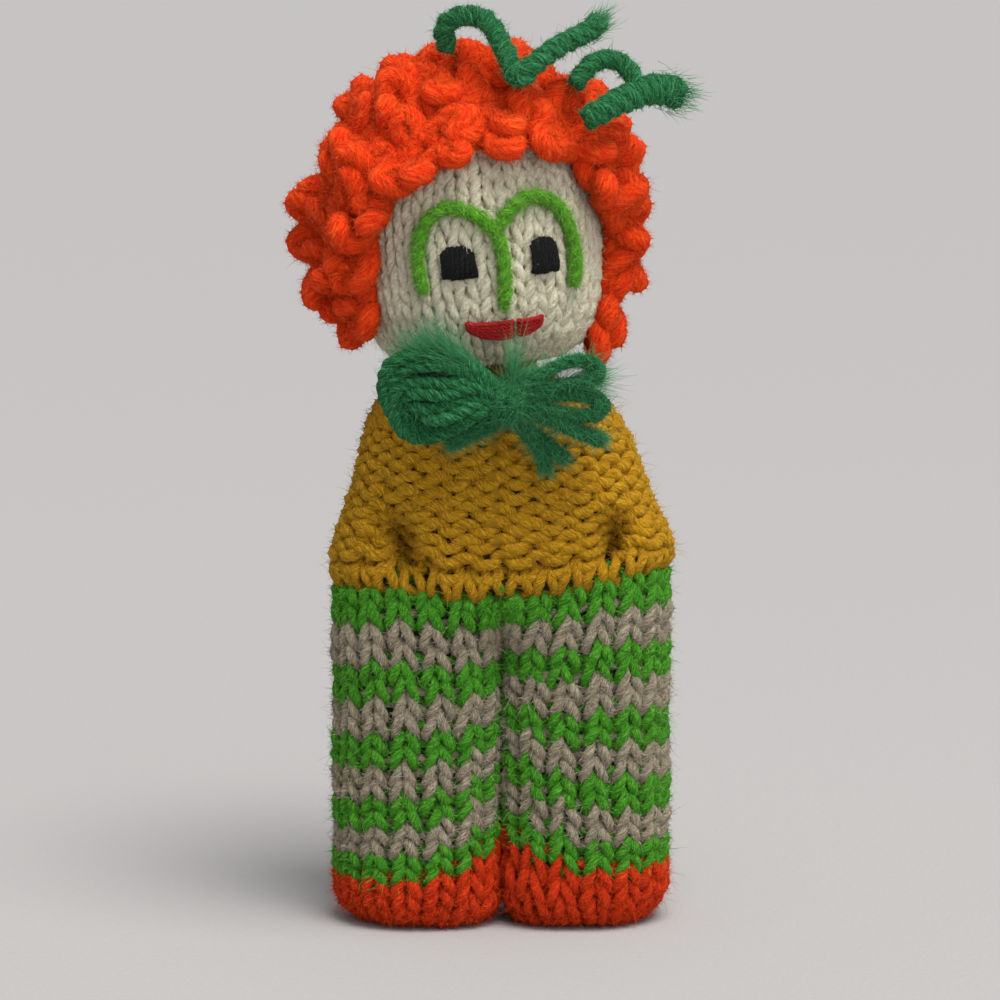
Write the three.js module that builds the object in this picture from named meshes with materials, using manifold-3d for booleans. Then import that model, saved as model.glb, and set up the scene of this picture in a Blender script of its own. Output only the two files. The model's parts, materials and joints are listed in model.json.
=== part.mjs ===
// A hand-knitted clown doll, stuffed and sewn, that stands on its own two feet.
// Lengths are in millimetres and angles in degrees. Up is +Z and the doll faces -Y.
import * as THREE from "three";
import { mergeVertices } from "three/addons/utils/BufferGeometryUtils.js";
import Module from "manifold-3d";

const wasm = await Module();
wasm.setup();

// Fits
const GAP = 0.3; // between pieces that touch
const HIP_CLEARANCE = 0.5; // round the turning top of a leg
const FABRIC = 2.2; // thickness of the knitted fabric

// Shoes and trousers
const LEG_RADIUS = 14.5;
const LEG_SPACE = 0.6; // between the two legs
const SHOE_HEIGHT = 8.5;
const SOLE_ROUNDING = 4;
const LEG_LENGTH = 30.5; // from the top of the shoe to the hip axis
const LIP_ANGLE = 60; // from the top of the hip round to the edge of the trouser top
const HIP_COVER = 5; // from the top of the legs to the waist
const HIP_DRAW = 0.26; // share of the depth that the crease takes above the legs
const WAIST_DRAW = 0.08; // and at the waist

// Jumper and arms
const JUMPER_HEIGHT = 32.8;
const TRUNK_HALF_WIDTH = 19.4;
const TRUNK_HALF_DEPTH = 15.4;
const SHOULDER_OUT = 15.2; // from the middle to the middle of the shoulder
const HAND_OUT = 23.2; // from the middle to the middle of the hand
const ARM_HALF_WIDTH = 6.5;
const ARM_HALF_DEPTH = 10;
const ARM_DROP = 3.4; // from the neck edge down to the top of the arm
const STITCH_RADIUS = 0.6; // sewing thread
const ARM_STITCH = 3; // length of one stitch along the arm
const ARM_STITCHES = 5;

// Neck
const NECK_SIDE = -2; // the neck sits this far to one side
const NECK_RISE = 1.7; // from the jumper's edge to the middle of the neck
const NECK_RADIUS = 8.6;
const NECK_THREAD_RADIUS = 1.2;

// Head
const HEAD_RISE = 26; // from the middle of the neck to the widest part of the head
const HEAD_HALF_WIDTH = 21.6;
const HEAD_HALF_DEPTH = 20;
const HEAD_ABOVE = 23.5; // from the widest part up
const HEAD_BELOW = 25; // from the widest part down
const HEAD_LEAN = 5;
const HEAD_TURN = 11;

// Face
const EYE_THICKNESS = 1.1;
const EYE_SPREAD = 20;
const EYE_DROP = 5.4;
const BROW_RADIUS = 1.05;
const BROW_SPREAD = 40;
const MOUTH_DROP = 16.6;
const MOUTH_HEIGHT = 2.8;
const MOUTH_SPREAD = 17;

// Hair
const HAIR_RADIUS = 1.85; // half the thickness of the hair yarn
const CURL_HEIGHT = 2.75; // how far a curl swings off the head, each way
const CURL_WIDTH = 3.15; // how far a curl swings along the head, each way
const CURL_PITCH = 6.1;
const ROW_STEP = 25; // angle from one row of hair to the next
const FIRST_ROW = 70; // angle from the middle of the face to the first row
const FACE_DIP = 24; // the middle of the rows lies this far below level
const HAIR_SHIFT = 6; // the front rows are sewn this far round to one side

// Sprigs and bow
const SPRIG_RADIUS = 1.8;
const TAIL_RADIUS = 2.6;
const BOW_RADIUS = 1;
const BOW_SIDE = 1;
const BOW_DROP = 2; // below the middle of the neck
const BOW_AHEAD = 1.6; // in front of the head's deepest part
const HANK_ROUND = 6.9;
const HANK_STRETCH = 0.8;
const HANK_STEP = 2.75; // from one loop to the next
const HANK_LAYER = 2.8; // from the front layer to the back one
const KNOT_HALF_WIDTH = 2.5;
const KNOT_HALF_DEPTH = 3.4;
const KNOT_HALF_HEIGHT = 3.3;

// Places that follow from the sizes
const degrees = Math.PI / 180;
const hipZ = SHOE_HEIGHT + LEG_LENGTH;
const lipZ = hipZ + LEG_RADIUS * Math.cos(LIP_ANGLE * degrees);
const waistZ = hipZ + LEG_RADIUS + HIP_COVER;
const collarZ = waistZ + JUMPER_HEIGHT;
const neckZ = collarZ + NECK_RISE;
const legX = LEG_RADIUS + LEG_SPACE / 2;
const hipHalfWidth = 2 * LEG_RADIUS + LEG_SPACE / 2;
const neck = new THREE.Vector3(NECK_SIDE, 0, neckZ);
const bowY = -(HEAD_HALF_DEPTH + BOW_AHEAD);
const bow = new THREE.Vector3(BOW_SIDE, bowY, neckZ - BOW_DROP);
const headPlace = new THREE.Matrix4()
  .makeTranslation(neck)
  .multiply(new THREE.Matrix4().makeRotationY(-HEAD_LEAN * degrees))
  .multiply(new THREE.Matrix4().makeRotationZ(HEAD_TURN * degrees));

// Materials
const wool = (color) => new THREE.MeshStandardMaterial({ color, roughness: 0.95, metalness: 0 });
const mustard = 0xbe8c14;
const green = 0x46a023;
const orange = 0xff500a;
const shoeOrange = 0xdc3c0a;
const white = 0xebe4d7;
const filling = 0xf2eee4;
const black = 0x15130f;
const red = 0xbe1414;
const bowGreen = 0x1e8c50;
const browGreen = 0x5ab41e;

const doll = new THREE.Group();
doll.name = "knitted_doll";

function vec(x, y, z) {
  return new THREE.Vector3(x, y, z);
}

// Joins rings of points into one closed skin, with a point in the middle of each end.
function loft(rings) {
  const count = rings[0].length;
  const position = [];
  const index = [];
  for (const ring of rings) {
    for (const p of ring) {
      position.push(p.x, p.y, p.z);
    }
  }
  for (const ring of [rings[0], rings[rings.length - 1]]) {
    const middle = vec(0, 0, 0);
    ring.forEach((p) => middle.add(p));
    middle.divideScalar(count);
    position.push(middle.x, middle.y, middle.z);
  }
  const first = rings.length * count;
  const last = (rings.length - 1) * count;
  for (let i = 0; i < count; i++) {
    const j = (i + 1) % count;
    for (let r = 0; r < rings.length - 1; r++) {
      const a = r * count;
      const b = a + count;
      index.push(a + i, a + j, b + j, a + i, b + j, b + i);
    }
    index.push(first, j, i, first + 1, last + i, last + j);
  }
  const geometry = new THREE.BufferGeometry();
  geometry.setAttribute("position", new THREE.Float32BufferAttribute(position, 3));
  geometry.setIndex(index);
  return geometry;
}

// A level ring, from an ellipse (power 2) towards a rounded rectangle (a higher power).
function oval(z, halfWidth, halfDepth, x = 0, power = 2, count = 20) {
  const ring = [];
  for (let i = 0; i < count; i++) {
    const angle = ((i + 0.5) / count) * 2 * Math.PI;
    const c = Math.cos(angle);
    const s = Math.sin(angle);
    const px = Math.sign(c) * Math.abs(c) ** (2 / power);
    const py = Math.sign(s) * Math.abs(s) ** (2 / power);
    ring.push(vec(x + halfWidth * px, halfDepth * py, z));
  }
  return ring;
}

function solid(geometry) {
  const plain = new THREE.BufferGeometry();
  plain.setAttribute("position", geometry.getAttribute("position"));
  if (geometry.index) {
    plain.setIndex(geometry.index);
  }
  const merged = mergeVertices(plain, 1e-4);
  return new wasm.Manifold(
    new wasm.Mesh({
      numProp: 3,
      vertProperties: new Float32Array(merged.getAttribute("position").array),
      triVerts: new Uint32Array(merged.index.array),
    }),
  );
}

function geometryOf(body) {
  const mesh = body.getMesh();
  const geometry = new THREE.BufferGeometry();
  geometry.setAttribute("position", new THREE.BufferAttribute(new Float32Array(mesh.vertProperties), 3));
  geometry.setIndex(new THREE.BufferAttribute(new Uint32Array(mesh.triVerts), 1));
  return geometry;
}

// The largest body of a cut solid.
function largest(body) {
  const bodies = body.decompose();
  bodies.sort((a, b) => b.volume() - a.volume());
  return bodies[0];
}

function add(name, shape, color) {
  const geometry = shape.isBufferGeometry ? shape : geometryOf(shape);
  geometry.computeVertexNormals();
  const mesh = new THREE.Mesh(geometry, wool(color));
  mesh.name = name;
  doll.add(mesh);
}

function ball(radius, middle, around = 16, up = 9) {
  const geometry = new THREE.SphereGeometry(radius, around, up);
  geometry.rotateX(Math.PI / 2);
  geometry.translate(middle.x, middle.y, middle.z);
  return solid(geometry);
}

// A yarn that follows points, with one radius or a radius for each point.
function yarn(points, radius, sides = 6) {
  const radii = Array.isArray(radius) ? radius : points.map(() => radius);
  const tangents = points.map((p, i) => {
    const before = points[Math.max(i - 1, 0)];
    const after = points[Math.min(i + 1, points.length - 1)];
    return after.clone().sub(before).normalize();
  });
  let side = vec(0.31, 0.52, 0.79).cross(tangents[0]).normalize();
  const rings = points.map((p, i) => {
    side = side.clone().addScaledVector(tangents[i], -side.dot(tangents[i])).normalize();
    const other = tangents[i].clone().cross(side);
    const ring = [];
    for (let k = 0; k < sides; k++) {
      const angle = (k / sides) * 2 * Math.PI;
      const out = side.clone().multiplyScalar(Math.cos(angle)).addScaledVector(other, Math.sin(angle));
      ring.push(p.clone().addScaledVector(out, radii[i]));
    }
    return ring;
  });
  return loft(rings);
}

function smooth(points, count) {
  return new THREE.CatmullRomCurve3(points, false, "centripetal").getSpacedPoints(count);
}

// The least space between two lengths of one yarn, measured on points along it.
function leastGap(points, radius) {
  const run = [0];
  for (let i = 1; i < points.length; i++) {
    run.push(run[i - 1] + points[i].distanceTo(points[i - 1]));
  }
  let least = Infinity;
  for (let i = 0; i < points.length; i++) {
    for (let j = i + 1; j < points.length; j++) {
      if (run[j] - run[i] > 5 * radius) {
        least = Math.min(least, points[i].distanceTo(points[j]) - 2 * radius);
      }
    }
  }
  return least;
}

// Legs and shoes
const hipReach = 2 * hipHalfWidth + 20;

function hipRound(radius) {
  const round = new THREE.CylinderGeometry(radius, radius, hipReach, 36);
  round.rotateZ(Math.PI / 2);
  round.translate(0, 0, hipZ);
  return solid(round);
}

function box(width, depth, z0, z1) {
  const block = new THREE.BoxGeometry(width, depth, z1 - z0);
  block.translate(0, 0, (z0 + z1) / 2);
  return solid(block);
}

const legTop = box(hipReach, 4 * LEG_RADIUS, -10, hipZ).add(hipRound(LEG_RADIUS));

for (const [name, sign] of [["left", -1], ["right", 1]]) {
  const x = sign * legX;
  const cup = [];
  const cupInside = [];
  for (let i = 0; i <= 3; i++) {
    const turn = (i / 3) * 90 * degrees;
    const shrink = SOLE_ROUNDING * (1 - Math.sin(turn));
    const z = SOLE_ROUNDING * (1 - Math.cos(turn));
    cup.push(oval(z, LEG_RADIUS - shrink, LEG_RADIUS - shrink, x));
    cupInside.push([z + FABRIC, LEG_RADIUS - shrink - FABRIC]);
  }
  cup.push(oval(SHOE_HEIGHT, LEG_RADIUS, LEG_RADIUS, x));
  const hollow = cupInside.map(([z, r]) => oval(z, r, r, x));
  hollow.push(oval(SHOE_HEIGHT + 5, LEG_RADIUS - FABRIC, LEG_RADIUS - FABRIC, x));
  add(name + "_shoe", solid(loft(cup)).subtract(solid(loft(hollow))), shoeOrange);

  const topZ = hipZ + LEG_RADIUS + 2;
  const inside = LEG_RADIUS - FABRIC;
  const outer = solid(loft([
    oval(SHOE_HEIGHT + GAP, LEG_RADIUS, LEG_RADIUS, x),
    oval(hipZ, LEG_RADIUS, LEG_RADIUS, x),
    oval(topZ, LEG_RADIUS, LEG_RADIUS, x),
  ]));
  const inner = solid(loft([oval(0, inside, inside, x), oval(topZ + 2, inside, inside, x)]));
  add(name + "_trouser_leg", outer.intersect(legTop).subtract(inner), green);

  const filled = cupInside.map(([z, r]) => oval(z + GAP, r - GAP, r - GAP, x));
  filled.push(oval(topZ, inside - GAP, inside - GAP, x));
  add(name + "_leg_stuffing", solid(loft(filled)).intersect(legTop), filling);

  const seamY = LEG_RADIUS + GAP + STITCH_RADIUS;
  const seam = smooth([vec(x, seamY, SHOE_HEIGHT + 1), vec(x, seamY, hipZ - 3)], 3);
  add(name + "_leg_seam", yarn(seam, STITCH_RADIUS, 5), green);
}

// Trouser top
const hipSocket = hipRound(LEG_RADIUS + HIP_CLEARANCE);
const hipDepth = LEG_RADIUS;

// An oval that is drawn in at the middle, front and back, more so lower down.
function hipForm(inset, z0, z1) {
  const levels = [z0, lipZ, waistZ, z1].filter((z, i, all) => z >= z0 && z <= z1 && all.indexOf(z) === i);
  const rings = levels.map((z) => {
    const ring = oval(z, hipHalfWidth - inset, hipDepth - inset, 0, 3, 28);
    const share = Math.min(Math.max((z - lipZ) / (waistZ - lipZ), 0), 1);
    const draw = HIP_DRAW + (WAIST_DRAW - HIP_DRAW) * share;
    ring.forEach((p) => p.setY(p.y * (1 - draw * Math.exp(-((p.x / LEG_RADIUS) ** 2) * 6))));
    return ring;
  });
  return solid(loft(rings));
}

const trouserTop = hipForm(0, lipZ, waistZ)
  .subtract(hipForm(FABRIC, lipZ - 5, waistZ + 5))
  .subtract(hipSocket);
add("trouser_top", largest(trouserTop), green);

// Jumper
const trunkLevels = [
  [0, 0.94, 0.95],
  [0.2, 0.96, 1],
  [0.45, 1, 1.02],
  [0.65, 1, 0.97],
  [0.82, 1, 0.87],
  [0.92, 0.94, 0.78],
  [0.97, 0.8, 0.73],
];
const collarRadius = NECK_RADIUS + FABRIC;

function trunkSide(z) {
  return TRUNK_HALF_WIDTH * (z < waistZ + 0.3 * JUMPER_HEIGHT ? 0.97 : 1);
}

function trunkForm(inset, bottom, top) {
  const rings = [];
  for (const [level, wide, deep] of trunkLevels) {
    const z = level === 0 ? bottom : waistZ + level * JUMPER_HEIGHT - Math.max(inset, 0) * level;
    const x = NECK_SIDE * level ** 3;
    rings.push(oval(z, TRUNK_HALF_WIDTH * wide - inset, TRUNK_HALF_DEPTH * deep - inset, x, 2.4));
  }
  const r = collarRadius - inset;
  rings.push(oval(top - Math.max(inset, 0), r, r, NECK_SIDE));
  return solid(loft(rings));
}

const neckSocket = ball(NECK_RADIUS + GAP, neck);
const jumper = trunkForm(0, waistZ + GAP, collarZ)
  .subtract(trunkForm(FABRIC, waistZ - 5, collarZ))
  .subtract(neckSocket);
add("jumper", jumper, mustard);

const bodyFilling = hipForm(FABRIC + GAP, lipZ - 5, waistZ + GAP / 2)
  .subtract(hipRound(LEG_RADIUS + HIP_CLEARANCE + GAP))
  .add(trunkForm(FABRIC + GAP, waistZ + GAP / 3, collarZ))
  .subtract(ball(NECK_RADIUS + 2 * GAP, neck));
const bodyTrim = box(hipReach, 4 * LEG_RADIUS, hipZ + LEG_RADIUS * 0.8, collarZ + 20);
add("body_stuffing", largest(bodyFilling.intersect(bodyTrim)), filling);

// Seam thread down the back of the jumper, which follows the trunk.
const backSeam = trunkLevels.slice(0, 6).map(([level, , deep]) => {
  const y = TRUNK_HALF_DEPTH * deep + GAP + STITCH_RADIUS + 0.1;
  return vec(NECK_SIDE * level ** 3, y, waistZ + 1 + level * (JUMPER_HEIGHT - 2));
});
add("back_seam", yarn(smooth(backSeam, 12), STITCH_RADIUS, 5), mustard);

// Arms, sewn off from the trunk by a thread that runs through from front to back.
const armLevels = [
  [0, 0.5, 0.5],
  [0.06, 0.72, 0.7],
  [0.16, 0.88, 0.85],
  [0.4, 1, 0.98],
  [0.7, 1.03, 1],
  [0.9, 1.02, 0.96],
  [1, 0.98, 0.92],
];
const armTop = collarZ - ARM_DROP;

function armForm(sign, inset, bottom) {
  const rings = [];
  for (const [level, wide, deep] of armLevels) {
    const z = level === 1 ? bottom : armTop + level * (waistZ + GAP - armTop) - inset * (1 - level);
    const x = sign * (SHOULDER_OUT + level * (HAND_OUT - SHOULDER_OUT));
    rings.push(oval(z, ARM_HALF_WIDTH * wide - inset, ARM_HALF_DEPTH * deep - inset, x, 2, 16));
  }
  return solid(loft(rings.reverse()));
}

function stitchLine(sign) {
  const points = [];
  const y = ARM_HALF_DEPTH + GAP + STITCH_RADIUS;
  for (let i = 0; i <= ARM_STITCHES; i++) {
    const face = i % 2 === 0 ? -1 : 1;
    const z0 = waistZ + 1.5 + i * ARM_STITCH;
    const x0 = sign * (trunkSide(z0) + GAP + STITCH_RADIUS);
    const x1 = sign * (trunkSide(z0 + ARM_STITCH) + GAP + STITCH_RADIUS);
    points.push(vec(x0, face * (y - 0.8), z0), vec(x0, face * y, z0 + 0.7));
    points.push(vec(x1, face * y, z0 + ARM_STITCH - 0.7), vec(x1, face * (y - 0.8), z0 + ARM_STITCH));
  }
  return points;
}

const trunkRoom = trunkForm(-GAP, waistZ - 5, collarZ + GAP);
for (const [name, sign] of [["left", -1], ["right", 1]]) {
  const line = stitchLine(sign);
  const room = solid(yarn(line, STITCH_RADIUS + GAP, 6));
  const arm = armForm(sign, 0, waistZ + GAP).subtract(trunkRoom).subtract(room);
  const hollow = armForm(sign, FABRIC, waistZ - 5).subtract(trunkForm(-GAP - FABRIC, waistZ - 8, collarZ));
  add(name + "_arm", largest(arm.subtract(hollow)), mustard);
  const fill = armForm(sign, FABRIC + GAP + 0.1, waistZ + GAP);
  const fillRoom = trunkForm(-2 * GAP - FABRIC - 0.1, waistZ - 8, collarZ);
  add(name + "_arm_stuffing", largest(fill.subtract(fillRoom).subtract(room)), filling);
  const thread = solid(yarn(line, STITCH_RADIUS, 6)).subtract(trunkForm(-GAP / 2, waistZ - 5, collarZ));
  add(name + "_arm_stitching", largest(thread), mustard);
}

// Neck
add("neck_stuffing", ball(NECK_RADIUS, neck), filling);
const threadRing = NECK_RADIUS + GAP + NECK_THREAD_RADIUS;
const neckThread = new THREE.TorusGeometry(threadRing, NECK_THREAD_RADIUS, 6, 20);
neckThread.translate(neck.x, neck.y, neck.z);
add("neck_thread", solid(neckThread), mustard);

// Head, in its own frame with the middle of the neck at the origin
function headSize(z) {
  return z > 0 ? HEAD_ABOVE : HEAD_BELOW;
}

function headForm(inset) {
  const rings = [];
  for (let i = 1; i < 11; i++) {
    const angle = (i / 11) * Math.PI;
    const height = -Math.cos(angle);
    const r = Math.sin(angle);
    const z = HEAD_RISE + height * (headSize(height) - inset);
    rings.push(oval(z, (HEAD_HALF_WIDTH - inset) * r, (HEAD_HALF_DEPTH - inset) * r, 0, 2, 22));
  }
  return solid(loft(rings).applyMatrix4(headPlace));
}

add("head", headForm(0).subtract(headForm(FABRIC)).subtract(neckSocket), white);
const headRoom = ball(NECK_RADIUS + 2 * GAP, neck);
add("head_stuffing", headForm(FABRIC + GAP).subtract(headRoom), filling);

// A point on the head at an angle from the middle of the face and a height, raised by lift.
function onHead(angle, height, lift) {
  const c = headSize(height);
  const r = Math.sqrt(Math.max(1 - (height / c) ** 2, 0));
  const a = angle * degrees;
  const p = vec(HEAD_HALF_WIDTH * r * Math.sin(a), -HEAD_HALF_DEPTH * r * Math.cos(a), height);
  const n = vec(p.x / HEAD_HALF_WIDTH ** 2, p.y / HEAD_HALF_DEPTH ** 2, p.z / c ** 2).normalize();
  return p.addScaledVector(n, lift).add(vec(0, 0, HEAD_RISE));
}

function addToHead(name, geometry, color) {
  add(name, solid(geometry.applyMatrix4(headPlace)), color);
}

// Eyes, flat below and round above. An outline is angle and height from the eye's middle.
const eyes = [
  ["left_eye", -EYE_SPREAD, 8.6, 2.4],
  ["right_eye", EYE_SPREAD, 7.6, 2.9],
];
for (const [name, angle, halfWidth, halfHeight] of eyes) {
  const rings = [[], [], [], []];
  for (let i = 0; i < 16; i++) {
    const turn = (i / 16) * 2 * Math.PI;
    const up = Math.sin(turn);
    const a = halfWidth * Math.sign(Math.cos(turn)) * Math.abs(Math.cos(turn)) ** 0.8;
    const h = halfHeight * (up > 0 ? up : -(Math.abs(up) ** 0.4));
    const lifts = [GAP, GAP, GAP + EYE_THICKNESS, GAP + EYE_THICKNESS];
    lifts.forEach((lift, k) => {
      const scale = k === 0 || k === 3 ? 0.5 : 1;
      rings[k].push(onHead(angle + a * scale, h * scale - EYE_DROP, lift));
    });
  }
  addToHead(name, loft(rings), black);
}

// Brows. A path is an angle as a share of the spread, and a height.
const browPaths = {
  left_brow: [
    [-0.95, -9.5], [-1.02, -5], [-1, -0.5], [-0.82, 3], [-0.52, 4.7],
    [-0.28, 3.4], [-0.12, 1.2], [0.01, -2], [0.04, -7], [0.05, -13],
  ],
  right_brow: [
    [0.06, 1.2], [0.16, 3.2], [0.3, 4.6], [0.55, 4.4], [0.8, 2.4], [0.97, -1.4], [1.02, -5.8], [0.96, -9.5],
  ],
};
for (const [name, path] of Object.entries(browPaths)) {
  const lift = GAP + BROW_RADIUS;
  const points = path.map(([share, height]) => onHead(share * BROW_SPREAD, height, lift));
  addToHead(name, yarn(smooth(points, 22), BROW_RADIUS, 6), browGreen);
}

// Mouth, a curved band that is thin at its corners
const mouth = [];
for (let i = 0; i <= 10; i++) {
  const share = i / 5 - 1;
  const angle = share * MOUTH_SPREAD;
  const middle = 1.2 * share ** 2 - MOUTH_DROP;
  const half = (MOUTH_HEIGHT / 2) * Math.sqrt(1.1 - share ** 2);
  mouth.push([
    onHead(angle, middle - half, GAP),
    onHead(angle, middle + half, GAP),
    onHead(angle, middle + half, GAP + EYE_THICKNESS),
    onHead(angle, middle - half, GAP + EYE_THICKNESS),
  ]);
}
addToHead("mouth", loft(mouth), red);

// Hair. A row circles the middle of the face, and its yarn winds as it goes.
// The whorl at the back runs straight down instead.
const roundFace = new THREE.Matrix4().makeRotationX(FACE_DIP * degrees);
const downBack = new THREE.Matrix4().makeRotationZ(90 * degrees);
const seat = GAP + HAIR_RADIUS + CURL_HEIGHT;

function hairBase(row, turn) {
  const theta = row.angle * degrees;
  const d = vec(Math.sin(theta) * Math.sin(turn), -Math.cos(theta), Math.sin(theta) * Math.cos(turn));
  d.applyMatrix4(row.axis);
  const c = headSize(d.z);
  const size = Math.hypot(d.x / HEAD_HALF_WIDTH, d.y / HEAD_HALF_DEPTH, d.z / c);
  const p = d.divideScalar(size);
  const n = vec(p.x / HEAD_HALF_WIDTH ** 2, p.y / HEAD_HALF_DEPTH ** 2, p.z / c ** 2).normalize();
  return { p: p.add(vec(0, 0, HEAD_RISE)), n };
}

function curls(row, start, count) {
  const points = [];
  const steps = 7;
  let turn = start;
  const place = (wind, high) => {
    const { p, n } = hairBase(row, turn);
    const along = hairBase(row, turn + 0.01).p.sub(hairBase(row, turn - 0.01).p).normalize();
    const across = n.clone().cross(along);
    points.push(p.addScaledVector(n, high).addScaledVector(across, CURL_WIDTH * Math.sin(wind)));
  };
  const stride = () => {
    const a = hairBase(row, turn);
    const b = hairBase(row, turn + 0.01);
    const reach = b.p.addScaledVector(b.n, seat).distanceTo(a.p.addScaledVector(a.n, seat));
    turn += (CURL_PITCH / steps / reach) * 0.01;
  };
  const from = -Math.PI / 2;
  const last = count * steps + steps / 2;
  place(from, GAP + 0.25);
  place(from, seat - 1.2);
  for (let i = 0; i <= last; i++) {
    const wind = from + (i / steps) * 2 * Math.PI;
    place(wind, seat + CURL_HEIGHT * Math.cos(wind));
    if (i < last) {
      stride();
    }
  }
  place(Math.PI / 2, seat - 1.2);
  place(Math.PI / 2, GAP + 0.25);
  for (let i = 0; i < steps / 2; i++) {
    stride();
  }
  return { points, end: turn };
}

// Each row has its lengths of yarn with their counts of curls, and the turn that it is centred on.
const hairRows = [
  { axis: roundFace, angle: FIRST_ROW, middle: HAIR_SHIFT,
    lengths: [["hair_left_temple", 5], ["hair_fringe", 5], ["hair_right_temple", 5]] },
  { axis: roundFace, angle: FIRST_ROW + ROW_STEP, middle: HAIR_SHIFT,
    lengths: [["hair_left_side", 6], ["hair_crown", 5], ["hair_right_side", 6]] },
  { axis: roundFace, angle: FIRST_ROW + 2 * ROW_STEP, middle: 0,
    lengths: [
      ["hair_nape_left", 3],
      ["hair_back_left", 4],
      ["hair_back_top", 4],
      ["hair_back_right", 4],
      ["hair_nape_right", 3],
    ] },
  { axis: roundFace, angle: FIRST_ROW + 3 * ROW_STEP, middle: 0,
    lengths: [["hair_ring_left", 5], ["hair_ring_right", 5]] },
  { axis: downBack, angle: 90, middle: 90 - FACE_DIP, lengths: [["hair_whorl", 1]] },
];
const hairSolids = [];
let hairGap = Infinity;
for (const row of hairRows) {
  let reach = 0;
  for (const [, count] of row.lengths) {
    reach = curls(row, reach, count).end;
  }
  let turn = row.middle * degrees - reach / 2;
  for (let again = 0; again < 3; again++) {
    let end = turn;
    for (const [, count] of row.lengths) {
      end = curls(row, end, count).end;
    }
    turn += row.middle * degrees - (turn + end) / 2;
  }
  for (const [name, count] of row.lengths) {
    const { points, end } = curls(row, turn, count);
    turn = end;
    hairGap = Math.min(hairGap, leastGap(points, HAIR_RADIUS));
    addToHead(name, yarn(points, HAIR_RADIUS, 5), orange);
    hairSolids.push(solid(yarn(points, HAIR_RADIUS + GAP, 5).applyMatrix4(headPlace)));
  }
}
const hairRoom = wasm.Manifold.union(hairSolids);
console.log("least gap of a hair yarn to itself", hairGap.toFixed(2), "mm");

// Sprigs of green yarn in the hair, in the head's frame
const hairTop = HEAD_RISE + HEAD_ABOVE + 2 * seat - GAP;
const hairFront = -HEAD_HALF_DEPTH * 0.9;

// A yarn from points that are counted from the top of the hair in front.
function sprigYarn(points, radii, count) {
  const path = smooth(points.map(([x, y, z]) => vec(x, hairFront + y, hairTop + z)), count);
  const radius = path.map((p, i) => radii[0] + ((radii[1] - radii[0]) * i) / count);
  return solid(yarn(path, radius, 7).applyMatrix4(headPlace));
}

const topSprigPath = [
  [-4, 8, -2.6], [-4.6, 6, 1.2], [-1.4, 4, 3], [2.4, 2, 1.4], [4, -1, -4], [5.2, -3.4, -9],
  [7.6, -3.4, -7.4], [12.7, -1.6, -4.6], [19, 0.4, -2.2], [21.8, 1, -0.6],
];
const sideTailPath = [
  [16, -3.4, -16.6], [19, -3.2, -15.4], [22.3, -2, -14.2], [28.6, 1, -13], [32.8, 2, -14],
];
const sideLoopPath = [
  [15.2, 0, -10.8], [18.3, 0.6, -7.6], [21.6, 1, -7], [24.2, 1, -8.6], [25.4, 0.4, -11.4], [26, 0, -14],
];
const loopRadius = SPRIG_RADIUS * 0.85;
const topSprig = sprigYarn(topSprigPath, [SPRIG_RADIUS, SPRIG_RADIUS], 30);
add("top_sprig", largest(topSprig.subtract(hairRoom)), bowGreen);
const sideTail = sprigYarn(sideTailPath, [SPRIG_RADIUS, TAIL_RADIUS], 10);
add("side_sprig_tail", largest(sideTail.subtract(hairRoom)), bowGreen);
const sideLoop = sprigYarn(sideLoopPath, [loopRadius, loopRadius], 14);
const tailRoom = sprigYarn(sideTailPath, [TAIL_RADIUS + GAP, TAIL_RADIUS + GAP], 10);
add("side_sprig_loop", largest(sideLoop.subtract(hairRoom).subtract(tailRoom)), bowGreen);

// Bow. The knot, a hank of loops on one side, two single loops on the other, and the tails.
function knotForm(extra) {
  const knot = new THREE.SphereGeometry(1, 14, 9);
  knot.rotateX(Math.PI / 2);
  knot.scale(KNOT_HALF_WIDTH + extra, KNOT_HALF_DEPTH + extra, KNOT_HALF_HEIGHT + extra);
  knot.translate(bow.x, bow.y, bow.z);
  return solid(knot);
}
const knotRoom = knotForm(GAP);
add("bow_knot", knotForm(0), bowGreen);

// The hank spirals in on the front layer, crosses to the back one, and spirals out again.
const hankTurns = 3;
const hankIn = 1.25;
const hankSteps = 20;
const hankHalf = HANK_ROUND + HANK_STRETCH;
const hankX = -KNOT_HALF_WIDTH - 2.4 - hankHalf;
const hank = [];
const hankLead = [[3.9, -2.1], [2.9, -2.1], [1.9, -2], [0.7, -1.4]];
for (const [x, z] of hankLead) {
  hank.push(vec(hankX + hankHalf + x, -HANK_LAYER / 2, z));
}
for (let i = 0; i <= hankTurns * hankSteps; i++) {
  const turn = i / hankSteps;
  const angle = turn * 2 * Math.PI;
  const inward = HANK_STEP * Math.min(turn, hankIn, hankTurns - turn);
  const climb = Math.min(Math.max((turn - hankIn) / (hankTurns - 2 * hankIn), 0), 1);
  const h = HANK_ROUND - inward + HANK_STRETCH * Math.cos(2 * angle);
  const slope = -2 * HANK_STRETCH * Math.sin(2 * angle);
  const x = hankX + h * Math.cos(angle) - slope * Math.sin(angle);
  const z = h * Math.sin(angle) + slope * Math.cos(angle);
  hank.push(vec(x, HANK_LAYER * (climb - 0.5), z));
}
for (const [x, z] of hankLead.toReversed()) {
  hank.push(vec(hankX + hankHalf + x, HANK_LAYER / 2, -z));
}
hank.forEach((p) => p.add(bow));
console.log("least gap of the hank to itself", leastGap(hank, BOW_RADIUS).toFixed(2), "mm");
add("bow_left_loops", largest(solid(yarn(hank, BOW_RADIUS, 5)).subtract(knotRoom)), bowGreen);

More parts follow.
